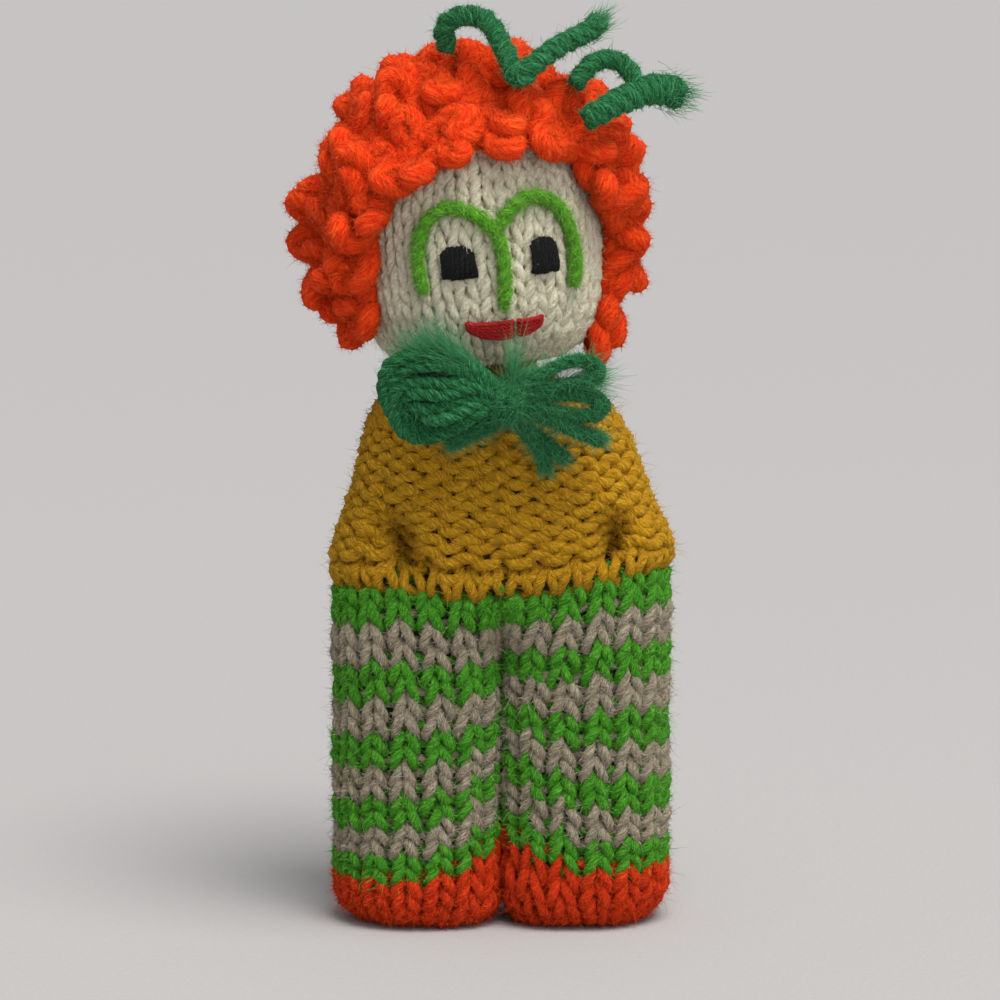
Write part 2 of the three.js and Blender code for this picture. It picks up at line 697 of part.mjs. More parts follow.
// The other pieces leave the knot, so what lies inside it is cut away.
function bowYarn(name, points, radii, count) {
  const path = smooth(points.map(([x, y, z]) => vec(x, y, z).add(bow)), count);
  const radius = path.map((p, i) => radii[0] + ((radii[1] - radii[0]) * i) / count);
  add(name, largest(solid(yarn(path, radius, 6)).subtract(knotRoom)), bowGreen);
}

const front = -HANK_LAYER / 2;
const back = HANK_LAYER / 2;
const single = [BOW_RADIUS, BOW_RADIUS];
const thin = [BOW_RADIUS, BOW_RADIUS * 0.5];
bowYarn("bow_right_upper_loop", [
  [1, front, 2.2], [5, front, 3.2], [10, front, 5.6], [15, front, 5.8], [16.4, front, 3.8],
  [13, front, 1.8], [8, front, 0.4], [5, front, -0.4], [1, front, -0.5],
], single, 22);
bowYarn("bow_right_lower_loop", [
  [1, back, 0.6], [5, back, 0.6], [10, back, 0.2], [15.4, back, -0.6], [16.6, back, -3],
  [13, back, -4.4], [8, back, -3.2], [5, back, -2.2], [1, back, -2],
], single, 22);
bowYarn("bow_left_tail", [[-0.6, 0, -1.5], [-1.6, 0.4, -4.6], [-4.6, 1, -7.2], [-9.2, 1.4, -8.6]], thin, 9);
bowYarn("bow_centre_tail", [[0.4, 0.4, -1.5], [1.4, 0.6, -5], [3.6, 1.2, -9], [7.4, 1.8, -12.6]], thin, 9);
bowYarn("bow_right_tail", [
  [1.4, -0.8, -1.5], [3.8, -1.2, -4.8], [8.4, -1, -6.6], [15.4, -0.4, -7.4],
], thin, 10);
const tieBack = -(collarRadius + GAP + 0.2) - bow.y;
const tie = [BOW_RADIUS * 1.2, BOW_RADIUS * 1.2];
bowYarn("bow_tie", [[0, 0, 0], [0, tieBack / 2, 0], [0, tieBack, 0]], tie, 3);

// The origin is below the middle of the whole doll, at floor level.
doll.updateMatrixWorld(true);
const hull = new THREE.Box3().setFromObject(doll);
const middle = hull.getCenter(vec(0, 0, 0)).setZ(hull.min.z);
for (const mesh of doll.children) {
  mesh.geometry.translate(-middle.x, -middle.y, -middle.z);
}
const places = { neck, bow, hip: vec(0, 0, hipZ), legs: vec(legX, 0, 0) };
const sprigPlaces = {
  top_sprig: topSprigPath[5],
  top_sprig_end: topSprigPath[0],
  side_sprig: sideTailPath[0],
  side_sprig_end: sideLoopPath[0],
};
for (const [name, [x, y, z]] of Object.entries(sprigPlaces)) {
  places[name] = vec(x, hairFront + y, hairTop + z).applyMatrix4(headPlace);
}
for (const [name, place] of Object.entries(places)) {
  const at = place.clone().sub(middle);
  console.log(name, at.toArray().map((v) => v.toFixed(3)).join(" "));
}

export default doll;
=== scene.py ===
import json

import bpy
import numpy as np
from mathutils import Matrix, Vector
from numpy import arange, array, concatenate, cos, cross, interp, linspace, maximum, pi, radians, roll, sin, stack


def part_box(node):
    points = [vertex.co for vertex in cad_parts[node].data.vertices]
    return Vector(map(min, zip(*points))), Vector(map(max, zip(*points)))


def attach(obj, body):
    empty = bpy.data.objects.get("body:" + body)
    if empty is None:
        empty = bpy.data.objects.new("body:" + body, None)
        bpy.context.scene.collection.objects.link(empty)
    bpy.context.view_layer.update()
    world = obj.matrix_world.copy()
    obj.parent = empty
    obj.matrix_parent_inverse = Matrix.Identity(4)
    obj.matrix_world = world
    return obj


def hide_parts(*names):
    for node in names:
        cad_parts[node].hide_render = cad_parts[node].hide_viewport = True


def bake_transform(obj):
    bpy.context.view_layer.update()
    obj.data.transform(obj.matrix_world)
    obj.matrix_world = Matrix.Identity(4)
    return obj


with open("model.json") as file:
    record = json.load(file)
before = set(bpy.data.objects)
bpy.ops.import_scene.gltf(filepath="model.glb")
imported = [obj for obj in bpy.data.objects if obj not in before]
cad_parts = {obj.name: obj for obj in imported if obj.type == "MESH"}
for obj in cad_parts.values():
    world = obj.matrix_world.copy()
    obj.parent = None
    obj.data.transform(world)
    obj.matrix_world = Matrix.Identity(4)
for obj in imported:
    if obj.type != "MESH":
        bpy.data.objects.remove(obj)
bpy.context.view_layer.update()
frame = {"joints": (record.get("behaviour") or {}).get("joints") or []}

MM = 0.001
rng = np.random.default_rng(11)
SIDES = (("left", -1), ("right", 1))
BACK = array([0.0, 1.0, 0.0])  # away from the viewer

# Trousers and shoes
LEG_STITCHES = 16
LEG_ROWS = 18
STRIPE_ROWS = 2
LEG_YARN = 0.92
LEG_SPREAD = 0.05  # how far a stitch's foot opens
LEG_FUZZ = (20000, 1.15, 4500, 2.3)
LEG_INSET = 3.8  # from the stitches' outside to the stuffing
LEG_FILL = 0.9
SHOE_ROWS = range(-7, 0)
SHOE_RISE = 0.35
SHOE_YARN = LEG_YARN * 1.06
SHOE_FUZZ = (22000, 1.15, 4500, 2.4)
SHOE_INSET = 3.4
INNER_POWER = 3.0  # how squarely the legs press on each other
INNER_REACH = 1.1
CREASE_RISE = 8.0  # how far the crease between the legs draws the rows up
RIGHT_RISE = 2.0
LEFT_SAG = 2.2
OUTER_SAG = 1.4
UNEVEN_FROM = 6.0  # above the shoes, where rows start to follow the uneven waist
CREASE_LOW = 43.0  # below this height the legs are round
CREASE_HIGH = 58.5  # above it the front is flat across both
HIP_COLUMNS = 0.68  # how nearly the stitches keep their places across, from leg to hip
BLEND_TOP = 50.0
BLEND_BOTTOM = 27.0
LEG_SEAM_TOP = 36.0
LEG_SEAM_PLACE = 0.75  # the back, as a share of the way round
SOLE_ROUNDING = 6.2
INNER_ROUNDING = 3.4
FLOOR_GAP = 0.02

# Jumper and neck
BODY_STITCHES = 24
BODY_ROW = 2.62
BODY_YARN = 1.14
BODY_POWER = 2.4  # how square the jumper is across
BODY_FUZZ = (15500, 1.15, 4200, 2.5)
BODY_INSET = 3.0
HEM_RISE = 0.5
HEM_DROP = 0.4  # how far the first row reaches down over the green
HEM_ROW = 2.9
HEM_YARN = 0.95
BODY_LEVELS = array([  # height, half width, half depth
    [58.5, 29.2, 14.7], [61.0, 29.6, 15.1], [63.5, 29.6, 15.4], [67.0, 28.5, 15.6],
    [70.5, 27.1, 15.7], [74.0, 25.8, 15.6], [78.5, 24.5, 15.2], [82.5, 23.3, 14.4],
    [86.0, 22.0, 13.5], [88.6, 20.3, 12.6], [90.3, 17.6, 11.9], [91.4, 14.0, 11.3],
    [92.2, 10.6, 10.4],
])
ARM_CREASE_DEPTH = 8.0
ARM_CREASE_WIDTH = 2.6
ARM_LEVEL = 4.0  # above the waist, where an arm's line is measured
LEFT_ARM, RIGHT_ARM = (16.2, 0.28), (18.9, 0.07)  # how far out the line lies there, and its slope
ARM_PULL_RISE, ARM_PULL_HOLD, ARM_PULL_FALL = 4.5, 7.5, 8.0  # where its pull is full, ends, and over how much
HEM_ACROSS = [-30, -17, -8, 3, 13, 20, 30]
HEM_HEIGHT = [-0.4, 0.9, -1.5, -0.8, 0.4, 2.5, 2.7]
HEM_FADE = 16.0  # how far up the jumper the uneven waist shows
NECK_STITCHES = 16
NECK_ROW = 2.2
NECK_YARN = 0.8
NECK_TALL = 1.25  # the neck's height, as a share of its width
PURL = {"knit_side": False, "rise": 0.8, "lean": 1.25, "straight": 0.0}

# Head, as in the solids
HEAD_RISE = 26.0
HEAD_HALF_WIDTH = 21.6
HEAD_HALF_DEPTH = 20.0
HEAD_ABOVE = 23.5
HEAD_BELOW = 25.0
JAW_POWER = 3.3
HEAD_LEAN = 5.0
HEAD_TURN = 11.0
HEAD_STITCHES = 32
HEAD_ROW = 2.95
HEAD_YARN = 0.92
HEAD_FUZZ = (15000, 1.0, 3800, 2.2)
CHIN_HEIGHT = -23.6  # where the lowest row starts, from the head's middle
CHIN_ROWS = 4  # these go all round
FACE_ROWS = 17  # the others only across the face, because hair covers the rest
FACE_SPAN = (5, 27)

# Face, by angle and height on the head
BROW_PATHS = {
    "left_brow": [[-35, -9.6], [-36.4, -6.5], [-36.2, -3], [-32, 1.4], [-22, 3.9],
                  [-11, 2.7], [-3.8, 0.4], [0.4, -3.2], [0.8, -8.2], [-0.4, -13.2]],
    "right_brow": [[0, 0], [5.2, 2.5], [13.8, 4.4], [23.8, 3.7], [31.2, 1],
                   [35.4, -3.4], [36.2, -8.2], [34.4, -10.8]],
}
BROW_STEPS = 150
BROW_YARN = 1.08
BROW_FUZZ = (9000, 1.0, 700, 2.2)
EYES = (("left_eye", -18.8, 7.4, -5.1, 2.45), ("right_eye", 19.8, 6.1, -5.2, 2.75))
EYE_STRANDS = 9
EYE_YARN = 0.46
MOUTH_PARTS = ((-18, 3.6, 5), (6.2, 18, 4))  # first and last angle, and how many strands
MOUTH_TOP = -15.5
MOUTH_DEEP = 2.3
MOUTH_YARN = 0.44
SATIN = {"sides": 8, "twist": 3.0}

# Hair rows, as in the solids
HAIR_GAP = 0.3
HAIR_RADIUS = 1.85
CURL_HEIGHT = 2.75
CURL_PITCH = 6.1
ROW_STEP = 25.0
FIRST_ROW = 70.0
FACE_DIP = 24.0
HAIR_SHIFT = 6.0
HAIR_YARN = 1.95
HAIR_TWIST = {"groove": 0.06, "plies": 3, "twist": 9.0}
LOW_OFFSETS = (1.6, 5.6)
WHORL_OFFSETS = (-10.0, -6.0, -2.0, 2.0, 6.0, 10.0)
LOW_STEP, LOW_RISE = 0.7, 2.1
LOW_WAVE, LOW_WAVE_RATE = 2.3, 1.3
LOOP_ROWS = ((5.0, 2.6, 2.9, 1.8), (4.7, 2.5, 2.3, -2.2))  # spacing, size, seat, place across the row
WHORL_ROWS = ((5.0, 2.6, 2.6, -7.5), (5.0, 2.6, 3.0, -2.5), (5.0, 2.6, 3.0, 2.5), (5.0, 2.6, 2.6, 7.5))
LOOP_TILT = (26, 76)
LOOP_TURNS = radians([-150, -80, 0, 80, 150])
HAIR_REACH = {"whorl": (5.0, 5.0), "ring_left": (9.5, 0.0), "ring_right": (0.0, 9.5)}  # past a row's ends
BED_ANGLES = (3.0, 11.0, 19.0, 27.0)  # rounds of yarn under the loops, counted from each row
BED_RISE = 1.6
BED_SHORT = 3.0

# Light and camera
LAMP_AIM = (0, 0, 0.09)  # in metres, as the lamps' places are
ROOM_COLOUR = (0.95, 0.97, 1.0, 1.0)
ROOM_STRENGTH = 0.4
CAMERA_DISTANCE = 700.0
CAMERA_HEIGHT = 161.0
CAMERA_SHIFT = -0.2
AIM_HEIGHT = 71.9
LENS = 149.8

# Places that the frame gives
joints = {j["name"]: array(j["pos_m"]) / MM for j in frame["joints"]}
left_box = [array(c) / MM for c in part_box("left_shoe")]
right_box = [array(c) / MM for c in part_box("right_shoe")]
LEG_RADIUS = (right_box[1][1] - right_box[0][1]) / 2
SHOE_TOP = right_box[1][2]
MID_X = (left_box[0][0] + right_box[1][0]) / 2
MID_Y = (right_box[0][1] + right_box[1][1]) / 2
LEG_X = (right_box[0][0] + right_box[1][0]) / 2 - MID_X
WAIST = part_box("trouser_top")[1][2] / MM
LEG_ROW = (WAIST - SHOE_TOP) / LEG_ROWS
NECK = joints["neck_turn"]
NECK_RADIUS = (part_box("neck_stuffing")[1][0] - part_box("neck_stuffing")[0][0]) / 2 / MM
BOW = joints["bow_swivel"]


def unit(v):
    return v / maximum(np.linalg.norm(v, axis=-1, keepdims=True), 1e-12)


def ease(x):
    """From 0 to 1, slow at both ends."""
    x = np.clip(x, 0, 1)
    return x * x * (3 - 2 * x)


def rotation(axis, angle):
    """Turns about x, y or z by the right-hand rule."""
    c, s = cos(radians(angle)), sin(radians(angle))
    i, j = {"x": (1, 2), "y": (2, 0), "z": (0, 1)}[axis]
    turn = np.eye(3)
    turn[i, i] = turn[j, j] = c
    turn[i, j], turn[j, i] = -s, s
    return turn


HEAD_FRAME = rotation("y", -HEAD_LEAN) @ rotation("z", HEAD_TURN)


def from_head(points):
    """Points of the head's own frame, in the doll's frame."""
    return points @ HEAD_FRAME.T + NECK


def run_along(line):
    """How far along a line each of its points is."""
    return np.append(0, np.cumsum(np.linalg.norm(np.diff(line, axis=0), axis=1)))


def even(line, count):
    """Points at even steps along a line."""
    run = run_along(line)
    at = linspace(0, run[-1], count)
    return stack([interp(at, run, line[:, k]) for k in range(3)], 1)


def smooth(points, count):
    """A smooth line through points, at even steps."""
    p = np.asarray(points, float)
    ends = np.vstack([2 * p[0] - p[1], p, 2 * p[-1] - p[-2]])
    t = linspace(0, 1, 24, endpoint=False)[:, None]
    fine = []
    for a, b, c, d in zip(ends, ends[1:], ends[2:], ends[3:]):
        bend = (2 * a - 5 * b + 4 * c - d) * t**2 + (3 * b - a - 3 * c + d) * t**3
        fine.append(0.5 * (2 * b + (c - a) * t + bend))
    return even(np.vstack(fine + [p[-1:]]), count)


def carried(tangent):
    """A side direction that is carried along a line without turning round it."""
    side = unit(cross(tangent[0], [0.31, 0.52, 0.79]))
    sides = np.empty_like(tangent)
    for i, t in enumerate(tangent):
        side = unit(side - t * (side @ t))
        sides[i] = side
    return sides


YARN_CHANGE = 0.035  # how uneven a yarn's skin is, as a share of its size
MARK_SPREAD = 500  # so that no two yarns look alike
SHORT_RINGS = ((0.0, 1.0),)  # how far along a fibre its rings are, and how thick it is there
LONG_RINGS = ((0.0, 1.0), (0.35, 0.85), (0.7, 0.55))


class Skein:
    """Gathers lengths of yarn, and their loose fibres, into one mesh."""

    def __init__(self):
        self.points, self.quads, self.tris, self.lay = [], [], [], []
        self.roots, self.size = [], 0

    def add(self, points, quads, tris, lay):
        self.points.append(points.reshape(-1, 3))
        self.quads.append(np.asarray(quads, int).reshape(-1, 4) + self.size)
        self.tris.append(np.asarray(tris, int).reshape(-1, 3) + self.size)
        self.lay.append(lay.reshape(-1, 3))
        self.size += len(self.points[-1])

    def wind(self, path, radius, out=None, closed=False, sides=10, plies=2, groove=0.1, twist=5.0):
        """Lays yarn along a path, or several of one length. Fibres grow where it faces out, or else all round."""
        path = path if path.ndim == 3 else path[None]
        lines, n = path.shape[:2]
        if closed:
            tangent = unit(roll(path, -1, 1) - roll(path, 1, 1))
        else:
            tangent = unit(np.gradient(path, axis=1))
        bare_beyond = -2 if out is None else -0.2
        if out is None:
            out = stack([carried(t) for t in tangent])
        out = out.reshape(path.shape)
        side = unit(out - tangent * (out * tangent).sum(-1, keepdims=True))
        other = cross(tangent, side)
        step = np.linalg.norm(roll(path, -1, 1) - path, axis=2)
        run = np.cumsum(step, 1) - step
        if closed:
            total = step.sum(1, keepdims=True)
            twist = (total / maximum(np.round(total / twist), 1))[..., None]
        thick = np.broadcast_to(radius, (lines, n))
        around = arange(sides) / sides * 2 * pi
        lay = around - 2 * pi * run[..., None] / twist
        wide = 1 - groove + groove * np.abs(cos(plies * lay / 2))
        wide = wide * thick[..., None] * rng.normal(1, YARN_CHANGE, lay.shape)
        away = cos(around)[:, None] * side[:, :, None] + sin(around)[:, None] * other[:, :, None]
        skin = path[:, :, None] + wide[..., None] * away
        mark = stack([cos(lay), sin(lay), run[..., None] + 0 * lay], -1)
        mark[..., 2] += rng.uniform(0, MARK_SPREAD, (lines, 1, 1))
        grain = np.broadcast_to(tangent[:, :, None], away.shape)
        seen = (away * out[:, :, None]).sum(-1) > bare_beyond
        self.roots.append([a[seen] for a in (skin, away, grain)])
        index = arange(lines * n * sides).reshape(lines, n, sides)
        here, there = (index, roll(index, -1, 1)) if closed else (index[:, :-1], index[:, 1:])
        quads = stack([here, roll(here, -1, 2), roll(there, -1, 2), there], -1)
        tris = []
        if not closed:
            ends = arange(lines)[:, None] + index.size
            first, last = index[:, 0], index[:, -1]
            tris = concatenate([stack([ends + 0 * first, roll(first, -1, 1), first], -1),
                                stack([ends + lines + 0 * last, last, roll(last, -1, 1)], -1)])
            heads = path[:, 0] - tangent[:, 0] * thick[:, :1] * 0.5
            tails = path[:, -1] + tangent[:, -1] * thick[:, -1:] * 0.5
            skin = concatenate([skin.reshape(-1, 3), heads, tails])
            mark = concatenate([mark.reshape(-1, 3), mark[:, 0, 0], mark[:, -1, 0]])
        self.add(skin, quads, tris, mark)

    def ply(self, path, radius, twist, plies=3, strand=0.54, **details):
        """Lays a yarn whose plies are strands of their own, wound round each other."""
        tangent = unit(np.gradient(path, axis=0))
        side = carried(tangent)
        other = cross(tangent, side)
        run = run_along(path)[:, None]
        radius = np.broadcast_to(radius, len(path))[:, None]
        for k in range(plies):
            turn = 2 * pi * (run / twist + k / plies)
            line = path + radius * (1 - strand) * (cos(turn) * side + sin(turn) * other)
            self.wind(line, radius[:, 0] * strand, **details)

    def roots_of(self, count):
        """Places on the yarn laid so far, where fibres may start."""
        skin, away, grain = (concatenate(k) for k in zip(*self.roots))
        pick = rng.integers(0, len(skin), count)
        return skin[pick], away[pick], grain[pick]

    def fuzz(self, short=0, short_length=0.0, long=0, long_length=0.0, thick=0.06):
        """Loose fibres all over the yarn laid so far: short ones that stand out, and long ones that bend."""
        if short:
            skin, away, grain = self.roots_of(short)
            lean = away * rng.uniform(0.15, 1.0, (short, 1)) + grain * rng.normal(0, 0.7, (short, 1))
            lean = unit(lean + rng.normal(0, 0.3, (short, 3)))
            reach = lean * short_length * rng.uniform(0.35, 1.25, (short, 1))
            self.fibres(skin - away * 0.08, reach, thick, rings=SHORT_RINGS)
        if long:
            skin, away, _ = self.roots_of(long)
            lean = unit(away * rng.uniform(0.1, 0.7, (long, 1)) + unit(rng.normal(size=(long, 3))) * 0.8)
            self.fibres(skin - away * 0.1, lean * long_length * rng.uniform(0.35, 1.3, (long, 1)), 0.042, 0.5)

    def fibres(self, root, reach, thick, curl=0.0, rings=LONG_RINGS):
        """Fine tapered fibres from root along reach, each with a bend of its own if they curl."""
        count, bend = len(root), np.zeros_like(root)
        if curl:
            bend = unit(rng.normal(size=(count, 3))) * curl * np.linalg.norm(reach, axis=1, keepdims=True)
        side = unit(cross(reach, rng.normal(size=(count, 3))))
        other = unit(cross(reach, side))
        points = []
        for share, width in rings:
            middle = root + reach * share + bend * share**2
            for turn in arange(3) * 2 * pi / 3:
                points.append(middle + thick * width * (cos(turn) * side + sin(turn) * other))
        points = stack(points + [root + reach + bend], 1)
        tip = 3 * len(rings)
        pairs = ((0, 1), (1, 2), (2, 0))
        quads = [[r + a, r + b, r + 3 + b, r + 3 + a] for r in range(0, tip - 3, 3) for a, b in pairs]
        tris = [[0, 2, 1]] + [[tip - 3 + a, tip - 3 + b, tip] for a, b in pairs]
        first = (arange(count) * (tip + 1))[:, None, None]
        mark = rng.uniform(-1, 1, (count, 1, 3)) * [1, 1, 40] + np.full((count, tip + 1, 3), [0, 0, -50.0])
        self.add(points, array(quads, int).reshape(-1, 4) + first, array(tris) + first, mark)

    def make(self, name, material):
        points = concatenate(self.points) * MM
        points[:, 2] = maximum(points[:, 2], FLOOR_GAP * MM)
        quads, tris = concatenate(self.quads), concatenate(self.tris)
        corners = concatenate([quads.ravel(), tris.ravel()])
        starts = concatenate([arange(len(quads)) * 4, len(quads) * 4 + arange(len(tris)) * 3])
        mesh = bpy.data.meshes.new(name)
        for holder, key, values, kind in (
            (mesh.vertices, "co", points, np.float32), (mesh.loops, "vertex_index", corners, np.int32),
            (mesh.polygons, "loop_start", starts, np.int32),
        ):
            holder.add(len(values))
            holder.foreach_set(key, values.astype(kind).ravel())
        mesh.polygons.foreach_set("use_smooth", np.ones(len(starts), bool))
        mesh.update(calc_edges=True)
        lay = mesh.attributes.new("lay", "FLOAT_VECTOR", "POINT")
        lay.data.foreach_set("vector", concatenate(self.lay).astype(np.float32).ravel())
        mesh.materials.append(material)
        return put(name, mesh)


def put(name, data):
    """A new object in the scene."""
    made = bpy.data.objects.new(name, data)
    bpy.context.scene.collection.objects.link(made)
    return made


# Finishes
def linear(red, green, blue):
    """A colour as it looks on a screen, 0 to 255, in the shader's own numbers."""
    c = array([red, green, blue]) / 255
    c = np.where(c <= 0.04045, c / 12.92, ((c + 0.055) / 1.055) ** 2.4)
    return (*[float(x) for x in c], 1.0)


def node(tree, kind, links=(), **values):
    """Adds a node, sets its own values, and joins or fills its inputs by name or number."""
    made = tree.nodes.new("ShaderNode" + kind)
    for key, value in values.items():
        setattr(made, key, value)
    for socket, source in dict(links).items():
        if isinstance(source, bpy.types.NodeSocket):
            tree.links.new(source, made.inputs[socket])
        else:
            made.inputs[socket].default_value = source
    return made


def mix_colour(tree, share, first, second):
    made = node(tree, "Mix", {0: share, 6: first, 7: second}, data_type="RGBA", blend_type="MIX")
    return made.outputs[2]


def make_wool_group():
    """Fibres and plies along the twist of a yarn, painted shade between plies and a painted highlight on loose
    fibres, and slow changes of tone over the piece.
    """
    tree = bpy.data.node_groups.new("wool_fibres", "ShaderNodeTree")
    for label in ("Deep", "Body", "Pale"):
        tree.interface.new_socket(label, in_out="INPUT", socket_type="NodeSocketColor")
    for label, kind in (("Colour", "NodeSocketColor"), ("Height", "NodeSocketFloat")):
        tree.interface.new_socket(label, in_out="OUTPUT", socket_type=kind)
    given, out = tree.nodes.new("NodeGroupInput"), tree.nodes.new("NodeGroupOutput")

    def add(kind, links, **values):
        return node(tree, kind, links, **values).outputs[0]

    def math(operation, first, second=0.0):
        return add("Math", {0: first, 1: second}, operation=operation)

    lay = node(tree, "Attribute", attribute_name="lay").outputs["Vector"]
    along = add("VectorMath", {0: lay, 1: (2.6, 2.6, 0.45)}, operation="MULTIPLY")
    fibre = add("TexNoise", {"Vector": along, "Scale": 1.9, "Detail": 5.0, "Roughness": 0.7})
    where = node(tree, "TexCoord").outputs["Object"]
    patch = add("TexNoise", {"Vector": where, "Scale": 130.0, "Detail": 2.0})
    fine = add("TexNoise", {"Vector": where, "Scale": 3200.0, "Detail": 3.0})
    across, upright, run = node(tree, "SeparateXYZ", {0: lay}).outputs
    ply = math("SUBTRACT", math("MULTIPLY", across, across), math("MULTIPLY", upright, upright))
    ply = math("ABSOLUTE", ply)
    dark = add("MapRange", {0: fibre, 1: 0.40, 2: 0.54})
    light = add("MapRange", {0: fibre, 1: 0.50, 2: 0.64, 4: 0.9})
    # Painted shade: crease darkens the yarn towards its deep colour along the grooves between the plies.
    crease = add("MapRange", {0: ply, 1: 0.0, 2: 0.5, 3: 0.35, 4: 0.0})
    shade = add("MapRange", {0: patch, 1: 0.3, 2: 0.7, 3: 0.0, 4: 0.35})
    deep, body, pale = (given.outputs[label] for label in ("Deep", "Body", "Pale"))
    colour = deep
    for share, second in ((dark, body), (light, pale), (shade, body), (crease, deep)):
        colour = mix_colour(tree, share, colour, second)
    # Painted highlight: loose fibres, whose marks run below zero, are mixed six tenths towards the pale colour, as
    # light caught in the fuzz.
    loose = math("MULTIPLY", math("LESS_THAN", run, 0.0), 0.6)
    colour = mix_colour(tree, loose, colour, pale)
    height = math("ADD", math("ADD", fibre, fine), math("MULTIPLY", ply, 0.6))
    tree.links.new(colour, out.inputs["Colour"])
    tree.links.new(height, out.inputs["Height"])
    return tree


WOOL_GROUP = make_wool_group()


def new_material(name):
    material = bpy.data.materials.new(name)
    material.use_nodes = True
    return material, material.node_tree, material.node_tree.nodes["Principled BSDF"]


def wool(name, body, deep, pale, roughness=0.9, sheen=0.3):
    """Yarn of a colour, with its deepest and palest fibres; the deepest also paints shade between plies, and the
    palest a highlight on loose fibres.
    """
    material, tree, shader = new_material(name)
    colours = {"Deep": linear(*deep), "Body": linear(*body), "Pale": linear(*pale)}
    fibres = node(tree, "Group", colours, node_tree=WOOL_GROUP)
    height = fibres.outputs["Height"]
    relief = node(tree, "Bump", {"Strength": 0.8, "Distance": 0.0006, "Height": height})
    tree.links.new(fibres.outputs["Colour"], shader.inputs["Base Color"])
    tree.links.new(relief.outputs[0], shader.inputs["Normal"])
    for label, value in (("Roughness", roughness), ("Specular IOR Level", 0.2), ("Sheen Weight", sheen),
                         ("Sheen Roughness", 0.45), ("Sheen Tint", colours["Pale"])):
        shader.inputs[label].default_value = value
    return material


# Each yarn: its name, middle, deepest and palest colour, and for threads roughness and sheen. The deepest is also
# the painted shade between plies, the palest the painted highlight on loose fibres.
FINISH = {yarn[0]: wool(*yarn) for yarn in (
    ("mustard_wool", (196, 144, 14), (142, 94, 4), (226, 180, 50)),
    ("green_wool", (68, 150, 28), (28, 98, 8), (122, 200, 70)),
    ("grey_wool", (164, 152, 130), (104, 92, 72), (208, 197, 174)),
    ("shoe_wool", (222, 50, 5), (172, 28, 2), (244, 92, 30)),
    ("white_wool", (239, 233, 206), (200, 190, 158), (251, 247, 228)),
    ("orange_wool", (251, 66, 8), (218, 34, 2), (255, 106, 38)),
    ("deep_green_wool", (22, 106, 55), (3, 52, 23), (92, 178, 120)),
    ("bright_green_thread", (90, 182, 30), (52, 136, 12), (158, 222, 92)),
    ("black_thread", (18, 17, 18), (8, 8, 9), (52, 50, 50), 0.7, 0.1),
    ("red_thread", (190, 24, 26), (140, 10, 12), (222, 70, 66), 0.7, 0.2),
    ("stuffing", (226, 220, 208), (198, 190, 176), (240, 236, 228)),
    # Painted shade: these two stuffings are coloured dark mustard and dark green, as the shade seen through gaps
    # in the knit.
    ("shade_painted_stuffing", (128, 96, 34), (98, 72, 22), (152, 120, 52)),
    ("leg_stuffing", (70, 92, 44), (48, 66, 28), (98, 118, 66)),
)}


def sew_on(skein, name, slot, fuzz, body, *nodes):
    """Makes a piece of a skein, which moves with a body and stands for its solids."""
    skein.fuzz(*fuzz)
    piece = skein.make(name, FINISH[slot])
    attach(piece, body)
    if nodes:
        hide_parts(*nodes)


# Knitting
def skin(surface, u, v, facing):
    """A surface's points and outward directions. u is a share of the way round, v a length."""
    around = surface(u + 1e-3, v) - surface(u - 1e-3, v)
    upward = surface(u, v + 0.05) - surface(u, v - 0.05)
    return surface(u, v), unit(cross(around, upward)) * facing


def jitter(count, q, size):
    """A small change from one stitch to the next."""
    values = rng.normal(0, size, count)
    return interp(q, arange(count + 1), np.append(values, values[0]), period=count)


LEVEL_FROM, LEVEL_OVER = 0.38, 0.24  # where an upright stitch passes to the next one's level
TUCK_DEPTH, TUCK_SHARPNESS = 1.7, 1.6


def knit(skein, surface, stitches, rows, row, radius, knit_side=True, facing=1, span=None, rise=0.9, lean=1.48,
         straight=0.16, lift=0.95, steps=16, sides=7, start=0.0, crowd=2.6, plain=None, tuck=None, spread=0.0,
         upright=False):
    """Works rows of stitches over a surface, from start up.

    span is the first and last stitch of an open row. rise, lean, straight and spread shape a stitch, and lift is
    how far it stands out. Stitches narrower than crowd get thinner yarn. plain is a smoother surface that gives
    the way out, tuck a row whose upper half lies deeper, and upright is for a surface whose rows slope.
    """
    closed = span is None
    first, last = (0, stitches) if closed else span
    q = arange(first * steps, last * steps + (0 if closed else 1)) / steps
    t = 2 * pi * q
    face_side = 1 if knit_side else -1
    held = (np.floor(q) + ease((q % 1 - LEVEL_FROM) / LEVEL_OVER)) / stitches

    def place(u, v):
        return surface(u, v, held) if upright else surface(u, v)

    paths, outs, sizes = [], [], []
    for number in rows:
        slip = jitter(stitches, q, 0.06) + rng.normal(0, 0.03)
        high = row * (rise * (1 + jitter(stitches, q, 0.09)) * cos(t) + jitter(stitches, q, 0.07))
        deep = -face_side * lift * (1 + jitter(stitches, q, 0.18)) * cos(2 * t)
        if number == tuck:
            deep = deep - TUCK_DEPTH * lift * ease(TUCK_SHARPNESS * cos(t))
        sway = (lean * sin(2 * t) + straight * sin(4 * t)) / (2 * pi) + spread * sin(t)
        u = (q + slip + sway) / stitches
        middle = start + row * (number + 0.5)
        v = middle + high
        p, n = skin(place, u, v, facing)
        n = n if plain is None else skin(plain, u, v, facing)[1]
        ring = place(q / stitches, np.full_like(q, middle))
        width = np.linalg.norm(np.gradient(ring, axis=0), axis=1) * steps
        paths.append(p + n * (deep - radius - lift)[:, None])
        outs.append(n)
        sizes.append(radius * np.clip(width / crowd, 0.45, 1) * (1 + jitter(stitches, q, 0.06)))
    skein.wind(stack(paths), stack(sizes), stack(outs), closed=closed, sides=sides)


